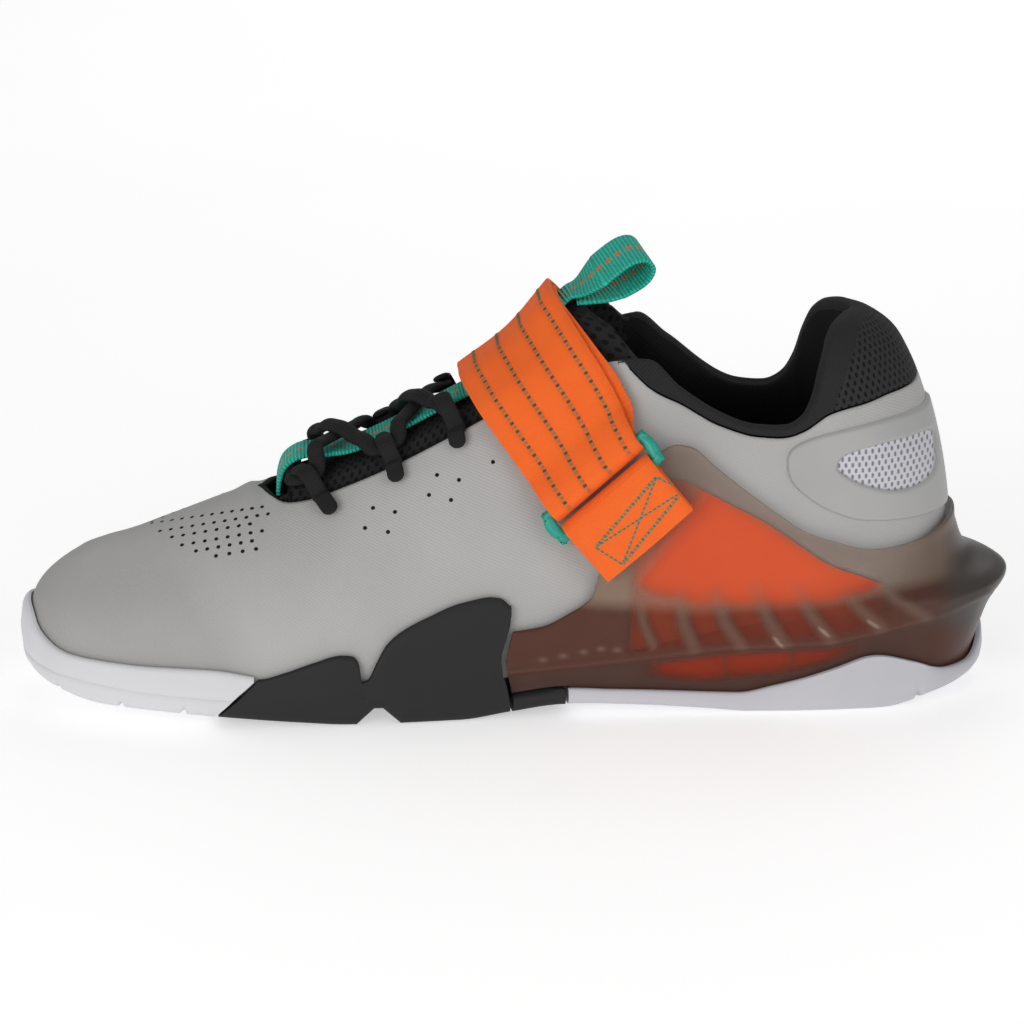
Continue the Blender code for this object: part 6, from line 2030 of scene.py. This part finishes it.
def make_lace(look, trees):
    path = smooth_path(lace_path(trees), 420)
    up = np.tile(lace_up(), (len(path), 1))
    up[:, 1] += path[:, 1] * 20
    run = directions(path)
    normal = square_to(run, up)
    wide = np.cross(run, normal)
    path = path + normal * LACE_RISE
    section = soft_oval(24, LACE_SHOWN[0] / 2, LACE_SHOWN[1] / 2, 0.9, 0.9)
    rings = rings_round(path, wide, normal, *section)
    uv = cloth_places(lengths(path), np.linspace(0, LACE_ROUND, 24, endpoint=False))
    made = lofted("lace_cord", rings, [look], uv=uv, caps=(0, 1), sharp=60)
    return place_on(made, "lace", "lace")


LOOP_EXTRA = (0.0035, 0.0015, 0.0012)  # by how much each pair of loops is longer
LOOP_SLANT = (0.0075, 0.0020, 0.0015)  # how far its lower end stands ahead


def make_lace_loop(side, number, look, trees):
    """Loop of soft cord, round-ended, that comes out over the throat's edge onto the grey."""
    place = np.array([LACE_PLACES[number]])
    up = lace_up()
    ahead = np.cross((0.0, 1.0, 0.0), up)
    inward = -side_sign(side) * np.array([0.0, 1.0, 0.0])
    edge = wall(side, place, np.array([1.0]))[0, 0]
    downs = np.linspace(LOOP_LENGTH + LOOP_EXTRA[number], 0.0005, 7)
    base = [under_wall(side, place, down, 0.0)[0] for down in downs]
    base += [edge + inward * inset for inset in (0.0018, 0.0036, 0.0054, 0.0070)]
    slants = np.linspace(1, -0.3, len(base)) * LOOP_SLANT[number]
    base = [point + ahead * slant for point, slant in zip(base, slants)]
    patch = [ahead * a * LOOP_WIDTH / 2 + inward * b * 0.0013
             for a in (-1, 0, 1) for b in (-2, -1, 0, 1, 2)]
    route = []
    for point in base:
        over = max(hit_from_above(trees, point + step, up) for step in patch)
        route.append(point + up * (over + LOOP / 2 + 2 * GAP))
    path = smooth_path(route, 60)
    run = directions(path)
    wide = square_to(run, np.tile(ahead, (len(path), 1)))
    length = lengths(path)
    half = LOOP_WIDTH / 2
    from_end = np.clip(np.minimum(length, length[-1] - length) / half, 0, 1)
    full = np.maximum(np.sqrt(np.clip(1 - (1 - from_end) ** 2, 0.0, 1)), 0.02)[:, None]
    spread, rise = soft_oval(20, half, LOOP * 0.75, 0.7, 0.8)
    rings = rings_round(path, wide, np.cross(run, wide), spread * full, rise * np.sqrt(full))
    name = f"lace_loop_{side}_{number + 1}"
    uv = cloth_places(length, spread)
    made = lofted(f"{name}_band", rings, [look], uv=uv, caps=(0, 1), sharp=70)
    return place_on(made, "lace", name)


PEEK = 0.0026  # how far the strap's lower layer shows behind the upper one, on the medial side


def strap_rows(below, angles):
    radius = float(np.interp(-RING_ANGLE, angles, below[1])) + BAR_HEIGHT
    step = degrees_for((RING_SLOT + RING_BAR) / 2, radius)
    bar = -RING_ANGLE + step
    way = np.linspace(LATERAL_END, bar + 0.9 * step, 36)
    peek = PEEK * np.clip((-8 - way) / 40, 0, 1) * np.clip((way - bar - step) / 7, 0, 1)
    lower = [(a, UNDER, 0.0) for a in way]
    upper = [(a, OVER, 0.0) for a in way[::-1] if bar + 3.4 * step < a <= FREE_END]
    strap = band_grid([*lower, *folded(bar, step, -1), *upper], below, angles)
    wide = strap_frame()[1]
    rearwards = wide * math.copysign(1.0, wide[0])
    strap[: len(lower)] += peek[:, None, None] * rearwards
    bar = -RING_ANGLE - step
    way = np.linspace(-TAB_ANGLE, bar - 0.9 * step, 6)
    lower = [(a, UNDER, 0.0) for a in way]
    upper = [(a, OVER, 0.0) for a in way[::-1] if a < bar - 3.0 * step]
    anchor = band_grid([*lower, *folded(bar, step, 1), *upper], below, angles)
    return strap, anchor


def fine_band(name, grid, thickness, looks, slot_name, node, count, across_count=15):
    """A woven band with rounded edges on a grid of points, three lanes wide."""
    grid = np.stack([smooth_path(grid[:, k], count) for k in range(grid.shape[1])], 1)
    grid = rows_between(grid.transpose(1, 0, 2), across_count).transpose(1, 0, 2)
    normal = unit(np.cross(np.gradient(grid, axis=0), np.gradient(grid, axis=1)))
    half = thickness / 2
    rounding = half * 0.45
    inner = grid.copy()
    inner[:, -1] -= unit(grid[:, -1] - grid[:, -2]) * rounding
    inner[:, 0] -= unit(grid[:, 0] - grid[:, 1]) * rounding

    def rim(lane, high):
        return (grid[:, lane] + normal[:, lane] * half * high)[:, None]

    rings = np.concatenate([
        inner + normal * half, rim(-1, 0.5), rim(-1, -0.5),
        (inner - normal * half)[:, ::-1], rim(0, -0.5), rim(0, 0.5),
    ], axis=1)
    parts = np.linspace(-0.5, 0.5, across_count)
    ring_parts = np.concatenate([parts, [0.5, 0.5], parts[::-1], [-0.5, -0.5]])
    uv = cloth_places(lengths(grid[:, across_count // 2]), ring_parts * STRAP_WIDTH)
    fields = {"across": np.repeat(ring_parts[None], count, 0)}
    made = lofted(name, rings, looks, uv=uv, caps=(0, 1), fields=fields, sharp=60)
    place_on(made, slot_name, node)
    return made, grid


def pillow(centre, run, out, long, wide, high):
    """Five-sided raised block of thread: 8 points."""
    run = run / np.linalg.norm(run)
    out = out - run * float(np.dot(out, run))
    out = out / np.linalg.norm(out)
    across_run = np.cross(out, run)
    points = []
    for lift, share in ((-0.35 * high, 1.0), (high, 0.68)):
        for a, b in ((-1, -1), (1, -1), (1, 1), (-1, 1)):
            step = run * a * long / 2 * share + across_run * b * wide / 2 * share
            points.append(centre + step + out * lift)
    return points


def stitched(name, blocks, looks, slot_name):
    """Joined blocks of thread; each is (centre, run, out, long, wide, high, look)."""
    points, faces, face_look = [], [], []
    for centre, run, out, long, wide, high, which in blocks:
        first = len(points)
        points.extend(pillow(centre, run, out, long, wide, high))
        faces.append(tuple(first + k for k in (4, 5, 6, 7)))
        for k in range(4):
            faces.append((first + k, first + (k + 1) % 4, first + 4 + (k + 1) % 4, first + 4 + k))
        face_look.extend([which] * 5)
    made = make_mesh(name, np.array(points), faces, looks, face_look, sharp=60)
    return place_on(made, slot_name)


def thread_look(name, colour):
    made, tree, shader = new_look(name, colour, 0.8, Specular_IOR_Level=0.2)
    grain = noise(tree, where(tree), 2400.0, 2.0)
    dark = tuple(c * 0.6 for c in colour)
    colour_in(tree, shader, blend_colour(tree, ramp(tree, grain, 0.3, 0.7), colour, dark))
    bump(tree, shader, grain, 0.00006, 0.5)
    return made


STITCH = 0.00142  # from one stitch to the next
STITCH_HIGH = 0.00014
STITCH_START, STITCH_END = 0.0008, 0.004  # how far from the row's ends
STITCH_LONG, STITCH_WIDE = 0.00096, 0.00125
TAB_WIDE, TAB_FINE = 0.00115, 0.0006  # widths of the tab's thick and fine thread
TAB_PITCH, FINE_PITCH = 4.2, 5.2  # from one of its stitches to the next, in the photograph's pixels
ROW_LANES = (-0.335, -0.105, 0.135, 0.375)


def spot_at(at, length, points):
    """The place a length along a chain of points."""
    return np.array([np.interp(at, length, points[:, k]) for k in range(3)])


def strap_stitches(grid, half, looks):
    """Four rows of two-colour stitches along the strap's outer layer."""
    blocks = []
    parts = np.linspace(-0.5, 0.5, grid.shape[1])
    middle = grid[:, grid.shape[1] // 2]
    fold = int(np.argmin(middle[:, 2] + 0.7 * middle[:, 1]))
    layer = grid[fold + 1:]
    for lane in ROW_LANES:
        line = np.stack([spot_at(lane, parts, row) for row in layer])
        aside = np.stack([spot_at(lane + 0.05, parts, row) for row in layer]) - line
        length = lengths(line)
        for number, at in enumerate(np.arange(STITCH_START, length[-1] - STITCH_END, STITCH)):
            centre = spot_at(at, length, line)
            ahead = spot_at(at + 0.0008, length, line) - centre
            out = np.cross(ahead, spot_at(at, length, aside))
            out /= np.linalg.norm(out)
            if out @ (centre - np.array((float(centre[0]), 0.0, 0.045))) < 0:
                out = -out
            centre = centre + out * half
            look = number % 2
            blocks.append((centre, ahead, out, STITCH_LONG, STITCH_WIDE, STITCH_HIGH, look))
    return stitched("strap_stitches", blocks, looks, "strap")


# The tab's stitching in the photograph's pixels: corners of its box, from the front top on
TAB_BOX = ((656.5, 477), (683, 491), (622.5, 564.5), (595.5, 547.5))


def tab_stitches(tree, looks):
    """A box with a cross in it: two thick sides in two colours, the rest fine and in one."""
    blocks = []
    a, b, c, d = TAB_BOX
    lines = ((a, d, True), (b, c, True), (a, b, False), (d, c, False), (a, c, False), (b, d, False))
    for (x0, y0), (x1, y1), thick in lines:
        count = int(math.hypot(x1 - x0, y1 - y0) / (TAB_PITCH if thick else FINE_PITCH))
        for number in range(count):
            t0, t1 = (number + 0.1) / count, (number + 0.9) / count
            start, out = on_surface(tree, x0 + (x1 - x0) * t0, y0 + (y1 - y0) * t0)
            end, _ = on_surface(tree, x0 + (x1 - x0) * t1, y0 + (y1 - y0) * t1)
            if start is None or end is None:
                continue
            run, centre = np.array(end - start), np.array((start + end) / 2)
            wide, which = (TAB_WIDE, number % 2) if thick else (TAB_FINE, 0)
            long = np.linalg.norm(run)
            blocks.append((centre, run, np.array(out), long, wide, STITCH_HIGH, which))
    return stitched("tab_stitches", blocks, looks, "strap")


# Air holes of the upper in the photograph's pixels
HOLE_ROWS = (
    ("x0", "y0", "x1", "y1", "count"),
    (152, 523, 262, 507, 12),
    (160, 531, 268, 514, 11),
    (172, 537, 250, 524, 8),
    (182, 545, 262, 531, 8),
    (196, 551, 252, 541, 6),
    (216, 556, 256, 549, 4),
    (373, 508, 395, 512, 2),
    (365, 528, 388, 532, 2),
    (437, 475, 459, 480, 2),
    (429, 495, 451, 500, 2),
    (493, 462, 493, 462, 1),
)
HOLE_RADIUS = 0.00062
HOLE_CORNERS = 14
HOLE_LIFT = 0.00006


def make_air_holes(tree, look):
    points, faces = [], []
    for side in SIDES:
        for x0, y0, x1, y1, count in HOLE_ROWS[1:]:
            for t in (np.linspace(0, 1, count) if count > 1 else (0.0,)):
                spot, out = on_surface(tree, x0 + (x1 - x0) * t, y0 + (y1 - y0) * t, side)
                if spot is None:
                    continue
                first = len(points)
                aside = out.cross(Vector((0, 0, 1))).normalized()
                other = out.cross(aside).normalized()
                for swing in np.linspace(0, 2 * math.pi, HOLE_CORNERS, endpoint=False):
                    step = aside * math.cos(swing) + other * math.sin(swing)
                    points.append(spot + out * HOLE_LIFT + step * HOLE_RADIUS)
                faces.append(tuple(range(first, first + HOLE_CORNERS)))
    made = make_mesh("air_holes", np.array(points), faces, [look])
    return place_on(made, "shell")


RING_END = 0.0004  # how much thicker the ring is at its ends, inwards


def make_ring(look, below, angles):
    _, wide, top = strap_frame()
    half = STRAP_WIDTH * (1 - STRAP_TAPER) / 2
    bend = (RING_SLOT + RING_BAR) / 2
    spots = []
    for corner in (1, -1):
        for step in np.linspace(-90, 90, 7):
            swing = math.radians(step)
            reach = half + GAP + RING_OVERHANG * math.cos(swing)
            spots.append((corner * reach, corner * -bend * math.sin(swing)))
    path = []
    radius = float(np.interp(-RING_ANGLE, angles, below[1])) + BAR_HEIGHT
    for lane, rise in spots:
        angle = -RING_ANGLE + degrees_for(rise, radius)
        share = np.clip(lane / (2 * half), -0.5, 0.5)
        across_bed = np.array([over_bed(0.0, row, angles, angle, BAR_HEIGHT) for row in below])
        path.append(spot_at(share, STRAP_LANES, across_bed) + wide * lane)
    path = np.array(path)
    closed = np.concatenate([path[-3:], path, path[:4]])
    fine = smooth_path(closed, 1200)
    gap_start = np.argmin(np.linalg.norm(fine[:600] - path[0], axis=1))
    gap_end = 600 + np.argmin(np.linalg.norm(fine[600:] - path[0], axis=1))
    loop = fine[gap_start:gap_end]
    path = loop[np.linspace(0, len(loop), 160, endpoint=False).astype(int)]
    run = unit(np.roll(path, -1, 0) - np.roll(path, 1, 0))
    side = unit(np.cross(run, strap_way(-RING_ANGLE, top)))
    lift = np.cross(side, run)
    centre = path.mean(0)
    lane = np.abs((path - centre) @ wide)
    tip = np.clip((lane - half) / RING_OVERHANG, 0, 1)
    tip = tip * tip * (3 - 2 * tip)
    inwards = np.sign(((centre - path) * side).sum(1))
    path = path + side * (inwards * RING_END * tip)[:, None]
    spread, rise = soft_oval(16, 1.0, RING_BAR / 2)
    rings = rings_round(path, side, lift, spread * (RING_BAR / 2 + RING_END * tip)[:, None], rise)
    made = lofted("strap_ring_moulding", rings, [look], wrap=True)
    return place_on(made, "ring", "strap_ring")


# Scene

def make_stage():
    """Pale floor and soft studio light, mostly from the front."""
    floor_look, tree, shader = new_look("floor", (0.80, 0.80, 0.80), 0.9, Emission_Strength=0.48)
    shader.inputs["Emission Color"].default_value = (1.0, 1.0, 1.0, 1.0)
    cloud = noise(tree, where(tree), 3.0, 2.0)
    tone = blend_colour(tree, ramp(tree, cloud, 0.3, 0.7), (0.79, 0.79, 0.79), (0.81, 0.81, 0.81))
    colour_in(tree, shader, tone)
    mesh = bpy.data.meshes.new("floor")
    mesh.from_pydata([(-6, -6, 0), (6, -6, 0), (6, 6, 0), (-6, 6, 0)], [], [(0, 1, 2, 3)])
    mesh.materials.append(floor_look)
    floor = bpy.data.objects.new("floor", mesh)
    bpy.context.scene.collection.objects.link(floor)
    world = bpy.data.worlds.new("world")
    world.use_nodes = True
    nodes, links = world.node_tree.nodes, world.node_tree.links
    seen = nodes.new("ShaderNodeLightPath")
    level = nodes.new("ShaderNodeMapRange")
    level.inputs["To Min"].default_value = 0.38
    level.inputs["To Max"].default_value = 1.0
    links.new(seen.outputs["Is Camera Ray"], level.inputs["Value"])
    links.new(level.outputs["Result"], nodes["Background"].inputs["Strength"])
    nodes["Background"].inputs["Color"].default_value = (1.0, 1.0, 1.0, 1.0)
    bpy.context.scene.world = world
    bpy.context.scene.view_settings.view_transform = "Standard"
    for name, place, size, power in (
        ("key", (-1.0, -1.5, 0.55), 1.0, 9.6),
        ("low", (-1.0, -1.2, 0.14), 0.7, 2.2),
        ("fill", (0.9, -1.4, 0.7), 1.0, 6.0),
        ("back", (0.3, 1.4, 1.2), 1.2, 6.0),
    ):
        light = bpy.data.lights.new(name, "AREA")
        light.size = size
        light.energy = power
        lamp = bpy.data.objects.new(name, light)
        lamp.location = place
        lamp.rotation_euler = (Vector(place) - TARGET).to_track_quat("Z", "Y").to_euler()
        bpy.context.scene.collection.objects.link(lamp)


def main():
    make_camera()
    make_stage()
    knit, lining = knit_look(), lining_look()
    white = rubber_look("white_rubber", (0.64, 0.64, 0.66), 0.55, specular=0.3)
    black = rubber_look("black_rubber", (0.018, 0.018, 0.018), 0.6, specular=0.25)
    collar_mesh = mesh_look("black_mesh", (0.026, 0.026, 0.027), (0.003,) * 3, 0.0024, 0.0042)
    collar_cloth = mesh_look("collar_cloth", (0.024, 0.024, 0.025), (0.012,) * 3, 0.0009, 0.0014,
                             0.85, 0.0001)
    tongue_mesh = mesh_look("tongue_mesh", (0.014,) * 3, (0.002,) * 3, 0.0027, 0.0044)
    film = counter_look()
    heel_white = rubber_look("heel_rubber", (0.52, 0.515, 0.55), 0.55, specular=0.3)
    orange = rubber_look("orange_foam", (0.72, 0.060, 0.012), 0.7, specular=0.15)
    panel = rubber_look("orange_panel", (0.78, 0.085, 0.018), 0.7, specular=0.15)
    smoke = smoke_look()
    binding_cloth = rubber_look("binding_cloth", (0.010, 0.010, 0.010), 0.85, 1600.0, 0.00004, 0.15)
    green = webbing_look("green_webbing", (0.022, 0.50, 0.37), (0.62, 0.19, 0.06))
    strap_orange = strap_look("orange_strap", ROW_LANES)
    tab_orange = strap_look("orange_tab", ())
    lace_black = lace_look()
    teal = rubber_look("teal_ring", (0.012, 0.31, 0.235), 0.32, 900.0, 0.00002, 0.4)
    dark_hole = rubber_look("air_hole", (0.012, 0.012, 0.012), 0.9, 900.0, 0.00002, 0.1)
    upper = make_upper(knit, lining)
    make_air_holes(tree_of(upper), dark_hole)
    make_toe_sole(white)
    make_midfoot_wrap(black)
    make_arch_plate(black)
    make_heel_outsole(heel_white)
    make_heel_core(orange)
    make_heel_cage(smoke)
    for side in SIDES:
        make_web_panel(side, panel)
    make_insole(lining)
    make_counter(film)
    make_collar(collar_mesh, collar_cloth, lining)
    tongue = tree_of(make_tongue(tongue_mesh))
    make_binding(binding_cloth)
    make_gusset(collar_cloth)
    make_webbing(green)
    solid = {name: tree_of(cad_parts[name]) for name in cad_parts}
    make_lace(lace_black, [tongue, solid["tongue_webbing"]])
    under_loops = [solid["upper"], tongue, solid["lace"]]
    for side in SIDES:
        for number in range(3):
            make_lace_loop(side, number, lace_black, under_loops)
    loops = [f"lace_loop_{side}_{n}" for side in SIDES for n in (1, 2, 3)]
    held = ("upper", "collar", "heel_cage", "tongue", "tongue_webbing", "lace", *loops)
    under_strap = [solid[name] for name in held]
    angles = np.arange(-134.0, 135.0, 2.0)
    below = strap_bed(under_strap, angles)
    strap, anchor = strap_rows(below, angles)
    _, fine_grid = fine_band("strap_band", strap, STRAP, [strap_orange], "strap", "strap", 420)
    tab, _ = fine_band("strap_anchor_band", anchor, STRAP, [tab_orange], "strap",
                       "strap_anchor", 160)
    tan = thread_look("tan_thread", (0.38, 0.22, 0.09))
    dark_green = thread_look("green_thread", (0.05, 0.11, 0.08))
    teal_thread = thread_look("teal_thread", (0.03, 0.26, 0.19))
    strap_stitches(fine_grid, STRAP / 2, [tan, dark_green])
    tab_stitches(tree_of(tab), [teal_thread, tan])
    make_ring(teal, below, angles)


main()
